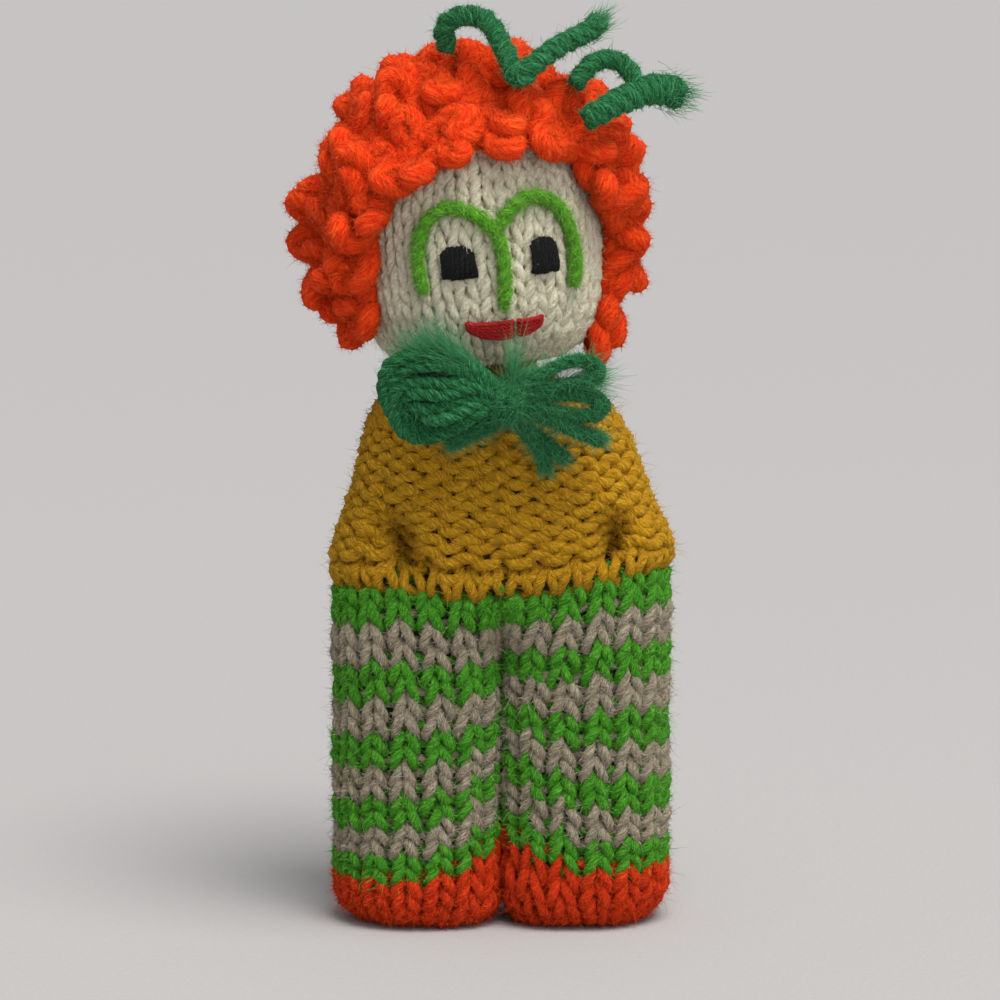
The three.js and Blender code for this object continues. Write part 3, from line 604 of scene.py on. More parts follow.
def filled(name, surface, levels, inset, facing, finish, fill, *nodes, count=48):
    """The stuffing behind a knitted surface, one closed form, which stands for its solids."""
    u = arange(count) / count
    rings = []
    for v in levels:
        p, n = skin(surface, u, np.full(count, v), facing)
        rings.append(p - n * inset)
    rings = stack(rings)
    index = arange(rings[..., 0].size).reshape(len(levels), count)
    a, b = (index, roll(index, -1, 1)) if facing > 0 else (roll(index, -1, 1), index)
    quads = stack([a[:-1], b[:-1], b[1:], a[1:]], -1)
    low, top = index.size, index.size + 1
    tris = concatenate([
        stack([np.full(count, low), b[0], a[0]], -1),
        stack([np.full(count, top), a[-1], b[-1]], -1),
    ])
    points = concatenate([rings.reshape(-1, 3), rings[:1].mean(1), rings[-1:].mean(1)])
    skein = Skein()
    skein.add(points, quads, tris, points * 0.4)
    form = skein.make(name, FINISH[finish])
    if nodes:
        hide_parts(*nodes)
    return form


def seam(skein, line, away, size=0.5, reach=1.3, space=2.8):
    """Slanting stitches of a seam, along a line."""
    stops = even(line, 2 * max(int(run_along(line)[-1] / space), 2))
    for p, q in zip(stops[::2], stops[1::2]):
        across = unit(cross(q - p, away)) * reach
        skein.wind(smooth([p - across - away * 0.6, p - across * 0.5 + away * 0.5, (p + q) / 2 + away * 0.7,
                           q + across * 0.5 + away * 0.5, q + across - away * 0.6], 10), size, sides=7)


TURN = linspace(0, 2 * pi, 4001)
INNER_SIDE = cos(TURN) > 0


def section(across, away, power, reach=1.0, stretch=1.0, size=1.0):
    """An even walk round a squarish oval, by a share of the way round."""
    x = np.sign(across) * np.abs(across) ** (2 / power) * reach
    y = np.sign(away) * np.abs(away) ** (2 / power)
    run = np.append(0, np.cumsum(np.hypot(np.diff(x) * stretch, np.diff(y))))
    x, y, run = x * size, y * size, run / run[-1]

    def place(share):
        share = np.mod(share, 1)
        return interp(share, run, x), interp(share, run, y)
    return place


# The jumper's walk starts at the middle of the front, a leg's at its inner side and goes to the front.
jumper_oval = section(sin(TURN), -cos(TURN), BODY_POWER, stretch=2)
leg_ring = section(-cos(TURN), -sin(TURN), np.where(INNER_SIDE, INNER_POWER, 2.0),
                   np.where(INNER_SIDE, INNER_REACH, 1.0), size=LEG_RADIUS)


def waist_lie(across):
    """How much higher or lower the waist lies than level, at a place across."""
    near = [interp(across + k, HEM_ACROSS, HEM_HEIGHT) for k in (-4, -2, 0, 2, 4)]
    return np.mean(near, axis=0)


# Trousers: each leg is a round tube below, pressed flat on the other, and half of the hips above.
def droop(sign, u, z):
    """How a leg's rows lie: drawn up in the crease between the legs, lower at the outer side."""
    share = np.clip((z - SHOE_TOP) / (WAIST - SHOE_TOP), 0, 1)
    turn = cos(2 * pi * u)
    front = RIGHT_RISE * (1 - share) if sign > 0 else -LEFT_SAG * sin(pi * share)
    crease = CREASE_RISE * maximum(turn, 0) ** 1.5 * (1 - ease(share))
    outer = OUTER_SAG * maximum(-turn, 0) ** 1.5 * ease(share * 5)
    fade = (1 - ease((z - BLEND_TOP) / (WAIST - BLEND_TOP))) * np.clip(z / SHOE_TOP, 0, 1)
    return (front + crease - outer) * fade


def leg_surface(sign):
    """A leg by share of the way round and height. held is the share at which a stitch's level is read."""
    def place(u, z, held=None):
        ring_x, ring_y = leg_ring(u)
        ring_x = LEG_X + ring_x
        hip_wide, hip_deep = BODY_LEVELS[0, 1:]
        even_x, even_y = jumper_oval(u / 2)
        top_x = HIP_COLUMNS * ring_x / (LEG_X + LEG_RADIUS) + (1 - HIP_COLUMNS) * even_x
        top_x = np.clip(top_x, 0, 1) * hip_wide
        top_y = np.sign(even_y) * hip_deep * (1 - (top_x / hip_wide) ** BODY_POWER) ** (1 / BODY_POWER)
        share = ease((z - CREASE_LOW) / (CREASE_HIGH - CREASE_LOW))
        x = ring_x + (top_x - ring_x) * share
        y = ring_y + (top_y - ring_y) * share
        hang = droop(sign, u if held is None else held, z)
        uneven = ease((z - SHOE_TOP - UNEVEN_FROM) / (WAIST - SHOE_TOP - UNEVEN_FROM))
        hang = hang + waist_lie(sign * x) * uneven
        return stack([MID_X + sign * x, MID_Y + y, z + hang + 0 * x], -1)
    return place


def shoe_surface(sign):
    """A shoe, down the side, round the edge and in under the sole, by length below its top."""
    def place(u, v):
        inner = maximum(cos(2 * pi * u), 0)
        rounding = SOLE_ROUNDING + (INNER_ROUNDING - SOLE_ROUNDING) * inner
        corner, wall = rounding * pi / 2, SHOE_TOP - rounding
        depth = -v
        turn = np.clip((depth - wall) / corner, 0, 1) * pi / 2
        under = maximum(depth - wall - corner, 0)
        r = 1 - (rounding * (1 - cos(turn)) + under) / LEG_RADIUS
        z = np.where(depth < wall, SHOE_TOP - depth, rounding * (1 - sin(turn)))
        ring_x, ring_y = leg_ring(u)
        x, y = LEG_X + r * ring_x, r * ring_y
        return stack([MID_X + sign * x, MID_Y + y, z + droop(sign, u, z) + 0 * x], -1)
    return place


for side_name, sign in SIDES:
    leg = side_name + "_leg"
    surface, cup = leg_surface(sign), shoe_surface(sign)
    start, end = (Vector((MID_X, MID_Y, height)) * MM for height in (BLEND_TOP, BLEND_BOTTOM))
    for stripe, colour in enumerate(("green", "grey")):
        striped = [number for number in range(LEG_ROWS) if number // STRIPE_ROWS % 2 == stripe]
        rows = Skein()
        knit(rows, surface, LEG_STITCHES, striped, LEG_ROW, LEG_YARN, facing=sign, span=(0, LEG_STITCHES),
             start=SHOE_TOP, spread=LEG_SPREAD, upright=True, tuck=LEG_ROWS - 1)
        rows.fuzz(*LEG_FUZZ)
        piece = rows.make(f"{leg}_{colour}_rows", FINISH[f"{colour}_wool"])
        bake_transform(piece)
        if colour == "green":
            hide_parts(f"{side_name}_trouser_leg", "trouser_top")
    levels = linspace(SHOE_TOP - 4, WAIST, 26)
    # Painted shade: the leg's stuffing is coloured dark green, as the shade in the gaps between stitches.
    form = filled(f"{leg}_filling", surface, levels, LEG_INSET, sign, "leg_stuffing", LEG_FILL,
                  f"{leg}_stuffing")
    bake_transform(form)
    rows = Skein()
    knit(rows, cup, LEG_STITCHES, SHOE_ROWS, LEG_ROW, SHOE_YARN, facing=sign, start=SHOE_RISE)
    sew_on(rows, f"{side_name}_shoe_rows", "shoe_wool", SHOE_FUZZ, leg, f"{side_name}_shoe")
    levels = linspace(-19, 2, 16)
    # Painted shade: the shoe's stuffing is coloured dark, as the shade in the gaps between stitches.
    form = filled(f"{side_name}_shoe_filling", cup, levels, SHOE_INSET, sign, "shade_painted_stuffing", LEG_FILL)
    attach(form, leg)
    threads = Skein()
    levels = linspace(SHOE_TOP + 1, LEG_SEAM_TOP, 10)
    line, away = skin(surface, np.full(10, LEG_SEAM_PLACE), levels, sign)
    seam(threads, line - away * 0.5, BACK)
    sew_on(threads, f"{leg}_seam_stitches", "grey_wool", (500, 0.6), leg, f"{leg}_seam")


# Jumper: a row of knit stitches over the green, then purl fabric with the arms sewn off by creases.
BODY_RUN = run_along(stack([BODY_LEVELS[:, 0], BODY_LEVELS[:, 1:].mean(1)], 1))


def arm_line(sign, up):
    """How far out the line lies that sews an arm off, at a height above the waist."""
    left, right = (out + slope * (up - ARM_LEVEL) for out, slope in (LEFT_ARM, RIGHT_ARM))
    return np.where(sign < 0, left, right)


def arm_pull(up):
    return ease(up / ARM_PULL_RISE) * (1 - ease((up - ARM_PULL_HOLD) / ARM_PULL_FALL))


def jumper_form(crease):
    """The jumper by share of the way round and length up from the waist, with creases of a depth."""
    def place(u, v):
        z, wide, deep = (interp(v, BODY_RUN, BODY_LEVELS[:, k]) for k in range(3))
        z = z + np.minimum(v, 0)
        x, y = jumper_oval(u)
        x, y = x * wide, y * deep
        up = z - WAIST
        off = (np.abs(x) - arm_line(x, up)) / ARM_CREASE_WIDTH
        pull = crease * arm_pull(up) * np.exp(-off**2)
        y = y - np.sign(y) * np.minimum(pull, np.abs(y) * 0.8)
        drift = (NECK[0] - MID_X) * np.clip(up / (BODY_LEVELS[-1, 0] - WAIST), 0, 1) ** 3
        z = z + waist_lie(x) * (1 - ease(up / HEM_FADE))
        return stack([MID_X + x + drift, MID_Y + y, z], -1)
    return place


jumper_surface, jumper_plain = jumper_form(ARM_CREASE_DEPTH), jumper_form(0.0)
body_rows = int((BODY_RUN[-1] - HEM_RISE) / BODY_ROW)
rows = Skein()
knit(rows, jumper_surface, 2 * LEG_STITCHES, [0], HEM_ROW, HEM_YARN, start=HEM_RISE - HEM_DROP,
     plain=jumper_plain)
knit(rows, jumper_surface, BODY_STITCHES, range(1, body_rows), BODY_ROW, BODY_YARN, lift=0.66, sides=6,
     start=HEM_RISE, plain=jumper_plain, **PURL)
sew_on(rows, "jumper_rows", "mustard_wool", BODY_FUZZ, "torso", "jumper", "left_arm", "right_arm")
levels = linspace(-1.5, BODY_RUN[-1], 30)
# Painted shade: the body's stuffing is coloured dark mustard, as the shade in the gaps between stitches.
form = filled("body_filling", jumper_form(ARM_CREASE_DEPTH + 1.6), levels, BODY_INSET, 1, "shade_painted_stuffing", 0.85,
              "body_stuffing", "left_arm_stuffing", "right_arm_stuffing", count=72)
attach(form, "torso")

threads = Skein()
line, away = skin(jumper_surface, np.full(14, 0.5), linspace(1, BODY_RUN[-1] * 0.8, 14), 1)
seam(threads, line - away * 0.4, BACK)
sew_on(threads, "back_seam_stitches", "mustard_wool", (900, 0.7), "torso", "back_seam")

for side_name, sign in SIDES:
    threads = Skein()
    up = linspace(2.5, 13, 8)
    reach = arm_line(sign, up)
    wide, deep = (interp(WAIST + up, BODY_LEVELS[:, 0], BODY_LEVELS[:, k]) for k in (1, 2))
    y = deep * (1 - (reach / wide) ** BODY_POWER) ** (1 / BODY_POWER)
    y = y - ARM_CREASE_DEPTH * arm_pull(up) - 0.9
    for face_side in (-1, 1):
        line = stack([MID_X + sign * reach, MID_Y + face_side * y, WAIST + up], 1)
        seam(threads, line, array([0.0, face_side, 0.0]), 0.5, 0.9, 3.0)
    sew_on(threads, f"{side_name}_arm_stitches", "mustard_wool", (500, 0.6), "torso", f"{side_name}_arm_stitching")


# Neck: a ball of purl fabric, gathered by a thread
def neck_surface(u, v):
    a = 2 * pi * u
    r = NECK_RADIUS * np.sqrt(maximum(1 - (v / NECK_RADIUS / NECK_TALL) ** 2, 0.05))
    return stack([NECK[0] + r * sin(a), NECK[1] - r * cos(a), NECK[2] + v + 0 * a], -1)


rows = Skein()
knit(rows, neck_surface, NECK_STITCHES, range(-3, 3), NECK_ROW, NECK_YARN, lift=0.5, sides=8, **PURL)
sew_on(rows, "neck_rows", "mustard_wool", (1500, 0.7), "neck_stuffing")
# Painted shade: the neck's stuffing is coloured dark mustard, as the shade in the gaps between stitches.
form = filled("neck_filling", neck_surface, linspace(-8, 8, 9), 2.2, 1, "shade_painted_stuffing", 0.8,
              "neck_stuffing", count=32)
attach(form, "neck_stuffing")
threads = Skein()
low, high = (array(c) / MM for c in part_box("neck_thread"))
ring_radius = (high[0] - low[0]) / 2 - (high[2] - low[2]) / 2
turn = linspace(0, 2 * pi, 90)[:, None]
ring = NECK + ring_radius * concatenate([cos(turn), sin(turn), 0 * turn], 1)
threads.ply(ring, 1.0, 5, plies=2, strand=0.56, sides=8)
sew_on(threads, "neck_gathering", "mustard_wool", (900, 0.7), "neck_thread", "neck_thread")


# Head
def head_form(h):
    """The head's height above or below its middle, and how square it is there."""
    return np.where(h > 0, HEAD_ABOVE, HEAD_BELOW), np.where(h > 0, 2.0, JAW_POWER)


def on_head(angle, height, lift=0.0):
    """A point on the head, at an angle from the middle of the face and a height, raised by lift."""
    a, height = radians(angle), np.asarray(height, float)
    c, power = head_form(height)
    up = np.minimum(np.abs(height) / c, 0.9999)
    r = (1 - up**power) ** (1 / power)
    x, y = HEAD_HALF_WIDTH * r * sin(a), -HEAD_HALF_DEPTH * r * cos(a)
    p = stack(np.broadcast_arrays(x, y, height), -1)
    flat = r ** (power - 2)
    n = np.broadcast_arrays(flat * x / HEAD_HALF_WIDTH**2, flat * y / HEAD_HALF_DEPTH**2,
                            np.sign(height) * up ** (power - 1) / c)
    return p + unit(stack(n, -1)) * np.asarray(lift)[..., None] + [0, 0, HEAD_RISE]


MERIDIAN = radians(linspace(-89, 89, 400))
MERIDIAN_HEIGHT = sin(MERIDIAN) * head_form(MERIDIAN)[0]
MERIDIAN_OUT = -on_head(0.0, MERIDIAN_HEIGHT)[:, 1]
MERIDIAN_RUN = np.append(0, np.cumsum(np.hypot(np.diff(MERIDIAN_OUT), np.diff(MERIDIAN_HEIGHT))))


def head_surface(u, v):
    return from_head(on_head(360 * u - 180, interp(v, MERIDIAN_RUN, MERIDIAN_HEIGHT)))


rows = Skein()
chin_run = float(interp(CHIN_HEIGHT, MERIDIAN_HEIGHT, MERIDIAN_RUN))
face = {"rise": 0.95, "lean": 1.5, "lift": 0.6, "steps": 14, "sides": 6, "start": chin_run, "crowd": 2.2}
knit(rows, head_surface, HEAD_STITCHES, range(CHIN_ROWS), HEAD_ROW, HEAD_YARN, **face)
knit(rows, head_surface, HEAD_STITCHES, range(CHIN_ROWS, FACE_ROWS), HEAD_ROW, HEAD_YARN, span=FACE_SPAN, **face)
sew_on(rows, "head_rows", "white_wool", HEAD_FUZZ, "head", "head")
levels = linspace(chin_run - 2, MERIDIAN_RUN[-1] - 1, 24)
form = filled("head_filling", head_surface, levels, 2.4, 1, "stuffing", 0.95, "head_stuffing")
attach(form, "head")

# Face: rope-stitched brows, thin at their ends, and satin-stitched eyes and mouth
for name, path in BROW_PATHS.items():
    angle, height = array(path).T
    line = from_head(smooth(on_head(angle, height, np.full(len(angle), 0.7)), BROW_STEPS))
    step = arange(BROW_STEPS)
    size = BROW_YARN * np.minimum(1, 0.55 + np.minimum(step, step[::-1]) / 16)
    size = size * (1 + 0.1 * sin(step * 0.55))
    threads = Skein()
    threads.ply(line, size, 4.4, plies=2, strand=0.64, sides=9)
    sew_on(threads, f"{name}_stitches", "bright_green_thread", BROW_FUZZ, "head", name)

for name, middle, half_width, level, half_height in EYES:
    threads = Skein()
    bulge = np.sqrt(maximum(1 - linspace(-1, 1, 14) ** 2, 0))
    for k in range(EYE_STRANDS):
        share = 2 * k / (EYE_STRANDS - 1) - 1
        rounded = 0.4 + 0.6 * np.sqrt(max(1 - (abs(share) * 0.94) ** 2.4, 0))
        top = half_height * rounded + rng.normal(0, 0.12)
        rise = linspace(-half_height + rng.normal(0, 0.1), top, 14)
        lift = 0.2 + 0.75 * bulge * (1 - 0.35 * share**2)
        angle = middle + half_width * 0.92 * share + 0.5 * sin(linspace(0, 3, 14) + k)
        threads.wind(from_head(on_head(angle, rise + level, lift)), EYE_YARN, **SATIN)
    sew_on(threads, f"{name}_stitches", "black_thread", (700, 0.5), "head", name)

threads = Skein()
for left, right, strands in MOUTH_PARTS:
    share = linspace(0, 1, 24)
    angle = left + (right - left) * share
    top = MOUTH_TOP + 0.25 * (angle / 18) ** 2
    deep = MOUTH_DEEP * np.sqrt(maximum(1.02 - (angle / 18.6) ** 2, 0.03))
    lift = 0.15 + 0.6 * np.sqrt(maximum(1 - (2 * share - 1) ** 4, 0))
    for k in range(strands):
        height = top - deep * (k / (strands - 1))
        threads.wind(from_head(on_head(angle, height, lift)), MOUTH_YARN, **SATIN)
sew_on(threads, "mouth_stitches", "red_thread", (900, 0.45), "head", "mouth")


# Hair: each row has an axis, an angle from it, the place of its middle, and lengths with so many curls
SEAT = HAIR_GAP + HAIR_RADIUS + CURL_HEIGHT
ROUND_FACE, DOWN_BACK = rotation("x", FACE_DIP), rotation("z", 90)
HAIR_ROWS = (
    (ROUND_FACE, FIRST_ROW, HAIR_SHIFT, (("left_temple", 5), ("fringe", 5), ("right_temple", 5))),
    (ROUND_FACE, FIRST_ROW + ROW_STEP, HAIR_SHIFT, (("left_side", 6), ("crown", 5), ("right_side", 6))),
    (ROUND_FACE, FIRST_ROW + 2 * ROW_STEP, 0, (
        ("nape_left", 3), ("back_left", 4), ("back_top", 4), ("back_right", 4), ("nape_right", 3))),
    (ROUND_FACE, FIRST_ROW + 3 * ROW_STEP, 0, (("ring_left", 5), ("ring_right", 5))),
    (DOWN_BACK, 90, 90 - FACE_DIP, (("whorl", 1),)),
)


def hair_base(axis, angle, turn):
    """Points on the head along a row of hair, and the directions out of the head."""
    theta = radians(angle)
    d = [sin(theta) * sin(turn), np.full_like(turn, -cos(theta)), sin(theta) * cos(turn)]
    d = stack(d, -1) @ axis.T
    c = head_form(d[:, 2])[0]
    size = stack([np.full_like(c, HEAD_HALF_WIDTH), np.full_like(c, HEAD_HALF_DEPTH), c], -1)
    p = d / np.linalg.norm(d / size, axis=1, keepdims=True)
    return p + [0, 0, HEAD_RISE], unit(p / size**2)


def loop_line(row, begin, finish, table, space, size, seat, offset):
    """A length of yarn sewn down in loops along its row, each loop with a lie of its own."""
    count = max(int(round((finish - begin) / space)), 1)
    points = []
    for k in range(count):
        middle = begin + (k + 0.5) * (finish - begin) / count + rng.normal(0, 0.4)
        p, n = hair_base(*row, interp(middle + array([-0.5, 0.0, 0.5]), *table))
        along, up = unit(p[2] - p[0]), n[1]
        across = cross(up, along)
        lie, tilt = rng.uniform(0, 2 * pi), radians(rng.uniform(*LOOP_TILT))
        lean_to = along * cos(lie) + across * sin(lie)
        tall = up * cos(tilt) + lean_to * sin(tilt)
        wide = cross(up, lean_to)
        reach = size * rng.uniform(0.75, 1.25)
        foot = p[1] + up * rng.uniform(seat - 0.8, seat + 0.8) + across * (offset + rng.normal(0, 0.8))
        for turn in LOOP_TURNS:
            points.append(foot + reach * ((1 + cos(turn)) * tall + 0.6 * sin(turn) * wide))
    return smooth(points, len(points) * 5)


def low_line(row, begin, finish, table, offset):
    """Yarn that lies close to the head under the loops."""
    run = linspace(begin, finish, max(int((finish - begin) / LOW_STEP), 6))
    p, n = hair_base(*row, interp(run, *table))
    across = cross(n, unit(np.gradient(p, axis=0)))
    wave = LOW_WAVE * sin(run * LOW_WAVE_RATE + rng.uniform(0, 6))
    return p + n * LOW_RISE + across * (offset + wave)[:, None]


row_spans = []
for axis, angle, middle, lengths in HAIR_ROWS:
    turn = linspace(-1.7 * pi, 1.7 * pi, 4000)
    p, n = hair_base(axis, angle, turn)
    run = run_along(p + n * SEAT)
    row, table = (axis, angle), (run, turn)
    total = sum(count + 1 for _, count in lengths) * CURL_PITCH
    ends = interp(run + total, run, turn)
    begin = interp(radians(middle), (turn + ends)[:2200] / 2, run[:2200])
    span = interp([begin + BED_SHORT, begin + total - BED_SHORT], run, turn)
    row_spans.append(span if angle <= FIRST_ROW + ROW_STEP else array([-pi, pi]))
    for name, count in lengths:
        finish = begin + (count + 1) * CURL_PITCH
        before, after = HAIR_REACH.get(name, (0.0, 0.0))
        first, last = begin - before, finish + after
        rows = Skein()
        for offset in WHORL_OFFSETS if name == "whorl" else LOW_OFFSETS:
            line = low_line(row, first, last, table, offset)
            rows.wind(from_head(line), HAIR_YARN, sides=8, **HAIR_TWIST)
        for loops in WHORL_ROWS if name == "whorl" else LOOP_ROWS:
            line = loop_line(row, first, last, table, *loops)
            rows.wind(from_head(line), HAIR_YARN, sides=10, **HAIR_TWIST)
        fuzz = (int(480 * (last - first)) + 3000, 1.2, 120 * (count + 1), 2.6, 0.05)
        sew_on(rows, f"{name}_curls", "orange_wool", fuzz, "head", f"hair_{name}")
        begin = finish


# Sprigs of plied yarn in the hair, in places counted from the top of its front: across, away, up
HAIR_TOP = HEAD_RISE + HEAD_ABOVE + 2 * SEAT - HAIR_GAP
HAIR_FRONT = -HEAD_HALF_DEPTH * 0.9
SPRIGS = (  # piece, body, yarn's size at both ends, steps, length of the frayed end, places
    ("top_sprig", "top_sprig", (1.8, 1.9), 130, 3.6, [
        [-4, 8, -3.4], [-4.6, 6, 0.2], [-1.6, 4, 1.8], [2.0, 2, 0.4], [3.8, -1, -4.4], [5.2, -3.4, -9],
        [7.6, -3.4, -7.3], [12.5, -0.8, -4.7], [18.2, 1.8, -2.7], [20.7, 2.6, -1.3]]),
    ("side_sprig_tail", "side_sprig", (2.1, 2.9), 60, 4.2, [
        [16, -3.4, -16.6], [19, -3.2, -15.4], [22.3, -2, -14.2], [28.6, 1, -13], [32.8, 2, -14]]),
    ("side_sprig_loop", "side_sprig", (1.7, 1.7), 60, 0.0, [
        [15.2, 0, -10.8], [18.3, 0.6, -8.0], [21.6, 1, -7.4], [24.2, 1, -8.9], [25.4, 0.4, -11.4], [26, 0, -14]]),
)


def frayed(skein, end, direction, length, count, spread, size):
    """The open end of a yarn, its fibres spread."""
    direction = unit(np.asarray(direction, float))
    root = end + rng.normal(0, size * 0.45, (count, 3)) - direction * rng.uniform(0.5, 2.5, (count, 1))
    reach = unit(direction + rng.normal(0, spread, (count, 3))) * length * rng.uniform(0.4, 1.15, (count, 1))
    skein.fibres(root, reach, 0.05, 0.35)


for name, body, sizes, count, fray, points in SPRIGS:
    path = from_head(smooth(array(points) + [0, HAIR_FRONT, HAIR_TOP], count))
    skein = Skein()
    skein.ply(path, linspace(*sizes, count), 7.5)
    skein.fuzz(count * 60, 0.8, count * 8, 1.8)
    if fray:
        frayed(skein, path[-1], path[-1] - path[-4], fray, 420, 0.24, sizes[1])
    sew_on(skein, f"{name}_yarn", "deep_green_wool", (), body, name)


# Bow, in places counted from the middle of its knot: across, away from the viewer, up
HANK_STRANDS = 12
HANK_TOP = array([[-6.1, 5.7], [-10.9, 7.7], [-15.4, 8.0], [-18.9, 6.1], [-20.0, 2.5]])  # across, up
HANK_LOW = array([[-19.2, -1.3], [-17.3, -4.8], [-13.3, -5.9], [-8.5, -4.1], [-4.5, -1.8]])
TOP_CLOSING = array([[0.6, -4.2], [0.8, -7.0], [1.8, -7.4], [3.4, -5.4], [3.8, -2.4]])  # to the inner loops
LOW_CLOSING = array([[4.2, 0.6], [3.0, 2.2], [1.6, 2.0], [0.8, 1.2], [0.3, 0.5]])
HANK_DEPTH = array([0, -0.4, -0.5, 0, 1.0, 2.2, 3.0, 3.2, 2.4, 1.1])
HANK_FRAYS = (  # place, direction, length, fibres
    ([-7.0, -1.8, 6.2], [-1, -0.22, 0.62], 9.5, 420), ([-11.5, -1.8, 7.6], [-1, -0.25, 0.75], 7.5, 420),
    ([-14.5, -1.6, 7.0], [-1, -0.1, 0.25], 6.5, 300), ([-9.0, -1.8, 7.0], [-0.7, -0.3, 1.0], 8.0, 260),
)
RIGHT_LOOPS = (  # level, places, yarn's size, how the second strand lies inside the first, and frays
    ("upper", array([
        [0.5, -1.0, 1.4], [5.9, -1.4, 4.6], [9.1, -1.6, 6.4], [12.3, -1.6, 7.0], [14.8, -1.4, 6.0],
        [14.9, -1.4, 4.2], [12.3, -1.4, 3.2], [8.3, -1.2, 2.6], [3.5, -1.0, 0.9], [0.4, -0.8, 0.4]]),
     1.05, [0.92, 1, 0.88], [0.2, 1.4, 0.3],
     (([12.6, -0.6, 3.2], [1, 0, 0.08], 7.0), ([3.0, -0.6, 3.0], [1, 0, 0.6], 6.0),
      ([2.0, -0.4, 2.4], [0.5, 0, 1.0], 5.0))),
    ("lower", array([
        [0.5, 0.8, 0.6], [6.7, 1.0, 0.9], [11.5, 1.0, 1.2], [15.1, 1.0, 0.4], [16.0, 0.9, -1.3],
        [13.9, 0.7, -2.7], [9.9, 0.6, -2.3], [5.9, 0.4, -1.4], [0.5, 0.2, -0.6]]),
     1.1, [0.9, 1, 0.8], [0.4, -1.3, 0.0], ()),
)
TAILS = {
    "left": [[[-0.4, 0.2, -1.0], [-2.9, 1.0, -4.1], [-6.1, 2.2, -5.6], [-9.2, 3.2, -7.4]]],
    "centre": [[[0.4, 0.2, -1.0], [3.2, 1.4, -5.4], [5.1, 2.6, -7.9], [6.4, 3.8, -11.6]],
               [[0.8, 0.6, -1.6], [3.4, 1.6, -4.9], [6.4, 2.6, -7.4], [9.4, 3.6, -9.9]]],
    "right": [[[1.4, -0.6, -0.8], [8.3, -0.2, -3.6], [12.3, 0.6, -5.4], [15.6, 1.4, -6.6]]],
}
KNOT_TURNS = (0.0, 1.1, 2.1, 3.0)


def bow_yarn(skein, points, count, radius=1.25, twist=6.6):
    path = smooth(points, count) + BOW
    skein.ply(path, radius, twist, sides=8, groove=0.08)
    return path


def bow_piece(skein, name, nap, node_name):
    sew_on(skein, name, "deep_green_wool", (nap, 0.9, nap // 5, 2.7), "bow", node_name)


skein = Skein()
for k in range(HANK_STRANDS):
    inner, layer = (k // 2) / 3.4, k % 2
    flat = concatenate([HANK_TOP + TOP_CLOSING * inner, HANK_LOW + LOW_CLOSING * (inner * 0.8)])
    flat = flat + rng.normal(0, 0.25, (10, 2))
    front = -2.6 + 2.9 * layer + 0.5 * inner
    depth = front + HANK_DEPTH + rng.normal(0, 0.25, 10)
    loop = stack([flat[:, 0], depth, flat[:, 1]], 1)
    bow_yarn(skein, concatenate([[[-0.5, front * 0.3, 1.1 - inner]], loop, [[-0.5, 0.8, -0.9]]]), 90)
for end, direction, length, count in HANK_FRAYS:
    frayed(skein, BOW + end, direction, length, count, 0.2, 1.6)
bow_piece(skein, "bow_left_hank", 8000, "bow_left_loops")

for level, points, size, shrink, shift, frays in RIGHT_LOOPS:
    skein = Skein()
    bow_yarn(skein, points, 80, size)
    bow_yarn(skein, points * shrink + shift, 80, 1.0)
    for end, direction, length in frays:
        frayed(skein, BOW + end, direction, length, 260, 0.22, 1.3)
    bow_piece(skein, f"bow_right_{level}_yarn", 8000, f"bow_right_{level}_loop")

for side_name, paths in TAILS.items():
    skein = Skein()
    for points in paths:
        path = bow_yarn(skein, points, 40, twist=9.0)
        frayed(skein, path[-1], path[-1] - path[-6], 2.8, 260, 0.22, 1.2)
    bow_piece(skein, f"bow_{side_name}_tail_yarn", 5000, f"bow_{side_name}_tail")

skein = Skein()
turn = linspace(0, 2 * pi, 26)
for place in KNOT_TURNS:
    tilt = rotation("y", 18 * cos(place * 2)) @ rotation("z", 24 * sin(place))
    ring = stack([np.full_like(turn, 0.9 * (place - 1.5)), 2.6 * cos(turn), 2.9 * sin(turn)], 1)
    skein.ply(ring @ tilt.T + BOW, 1.15, 5.0, plies=2, strand=0.64, sides=8, groove=0.08)
frayed(skein, BOW + [0.9, -1.6, 2.9], [0.05, -0.14, 1], 9.5, 170, 0.04, 0.55)
bow_piece(skein, "bow_knot_yarn", 8000, "bow_knot")
skein = Skein()
tie_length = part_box("bow_tie")[1][1] / MM - BOW[1]
bow_yarn(skein, [[0, 0, 0], [0, tie_length / 2, 0.3], [0, tie_length, 0]], 24, 1.2)
bow_piece(skein, "bow_tie_yarn", 600, "bow_tie")


# Under the loops of the hair, rounds of yarn lie close on the head, so that no white shows through
skein = Skein()
for (axis, angle, _, _), span in zip(HAIR_ROWS[:-1], row_spans):
    for further in BED_ANGLES:
        p, n = hair_base(axis, angle + further, linspace(*span, 70))
        skein.wind(from_head(p + n * BED_RISE), HAIR_YARN, sides=8, **HAIR_TWIST)
sew_on(skein, "hair_under_rows", "orange_wool", (), "head")


# Stage, light and camera
FLOOR_COLOUR = linear(170, 168, 168)


def look(thing, place, aim):
    """Puts a lamp or a camera in its place and turns it to its aim."""
    thing.location = place
    thing.rotation_mode = "QUATERNION"
    thing.rotation_quaternion = (Vector(aim) - Vector(place)).to_track_quat("-Z", "Y")


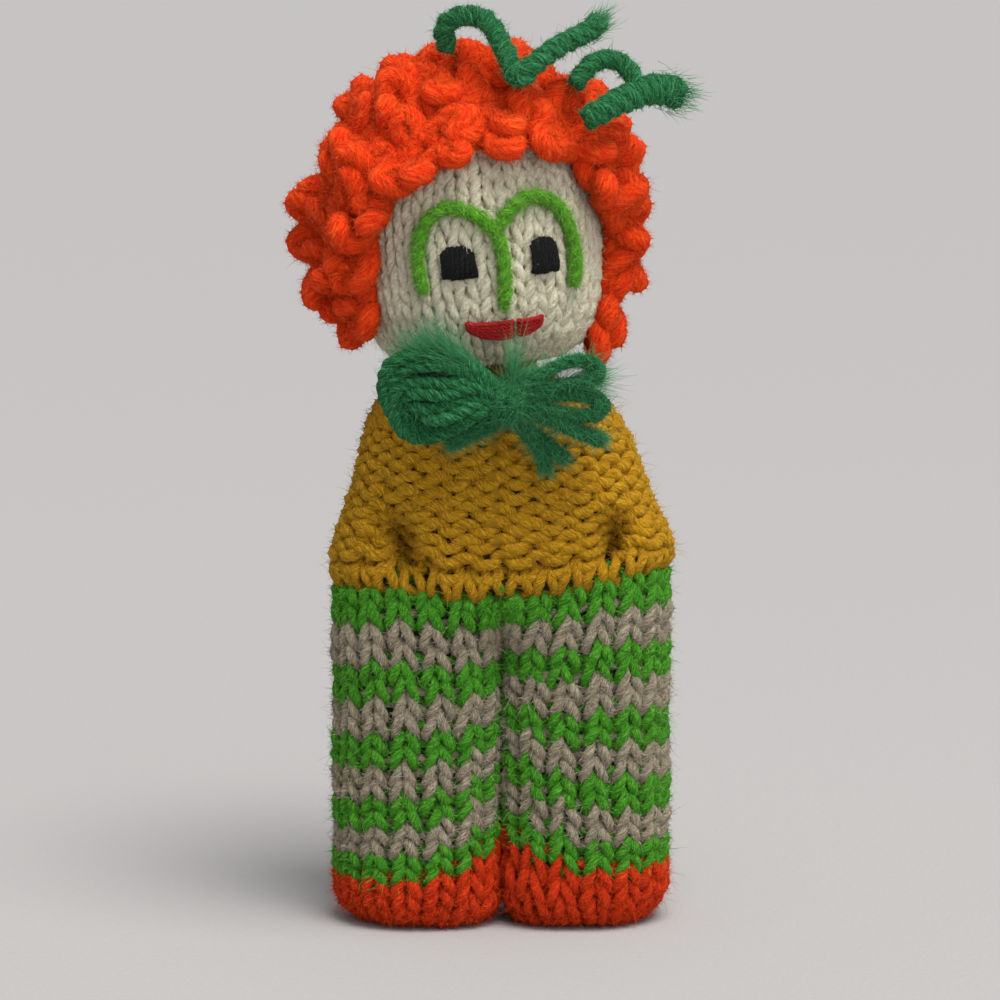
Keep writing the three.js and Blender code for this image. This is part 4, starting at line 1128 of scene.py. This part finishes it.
def lamp(name, kind, place, size, power, colour):
    """A soft light: a square panel of a size in metres, or a far one whose size is an angle."""
    data = bpy.data.lights.new(name, kind)
    data.energy, data.color = power, colour
    if kind == "SUN":
        data.angle = radians(size)
    else:
        data.shape, data.size = "SQUARE", size
    look(put(name, data), place, LAMP_AIM)


material, tree, shader = new_material("pale_cloth")
where = node(tree, "TexCoord").outputs["Object"]
weave = node(tree, "TexNoise", {"Vector": where, "Scale": 900.0, "Detail": 2.0}).outputs[0]
share = node(tree, "MapRange", {0: weave, 1: 0.3, 2: 0.7, 4: 0.5}).outputs[0]
pale = tuple(min(c * 1.06, 1.0) for c in FLOOR_COLOUR[:3]) + (1.0,)
tree.links.new(mix_colour(tree, share, FLOOR_COLOUR, pale), shader.inputs["Base Color"])
relief = node(tree, "Bump", {"Strength": 0.2, "Distance": 0.0005, "Height": weave})
tree.links.new(relief.outputs[0], shader.inputs["Normal"])
shader.inputs["Roughness"].default_value = 0.9
mesh = bpy.data.meshes.new("floor")
mesh.from_pydata([(-12, -3, 0), (12, -3, 0), (12, 32, 0), (-12, 32, 0)], [], [(0, 1, 2, 3)])
mesh.materials.append(material)
put("floor", mesh)
lamp("high_light", "SUN", (0.14, -0.24, 0.72), 36.0, 3.4, (1.0, 0.98, 0.95))
lamp("front_panel", "AREA", (0.34, -0.75, 0.36), 0.6, 2.4, (1.0, 0.99, 0.98))
data = bpy.data.cameras.new("camera")
data.sensor_width, data.lens = 36.0, LENS
data.clip_start, data.clip_end = 0.01, 100.0
camera = put("camera", data)
place = Vector((MID_X + CAMERA_SHIFT, MID_Y - CAMERA_DISTANCE, CAMERA_HEIGHT)) * MM
look(camera, place, Vector((MID_X + CAMERA_SHIFT, MID_Y, AIM_HEIGHT)) * MM)
bpy.context.scene.camera = camera
world = bpy.data.worlds.new("room")
world.use_nodes = True
world.node_tree.nodes["Background"].inputs["Color"].default_value = ROOM_COLOUR
world.node_tree.nodes["Background"].inputs["Strength"].default_value = ROOM_STRENGTH
bpy.context.scene.world = world
bpy.context.scene.view_settings.view_transform = "Standard"
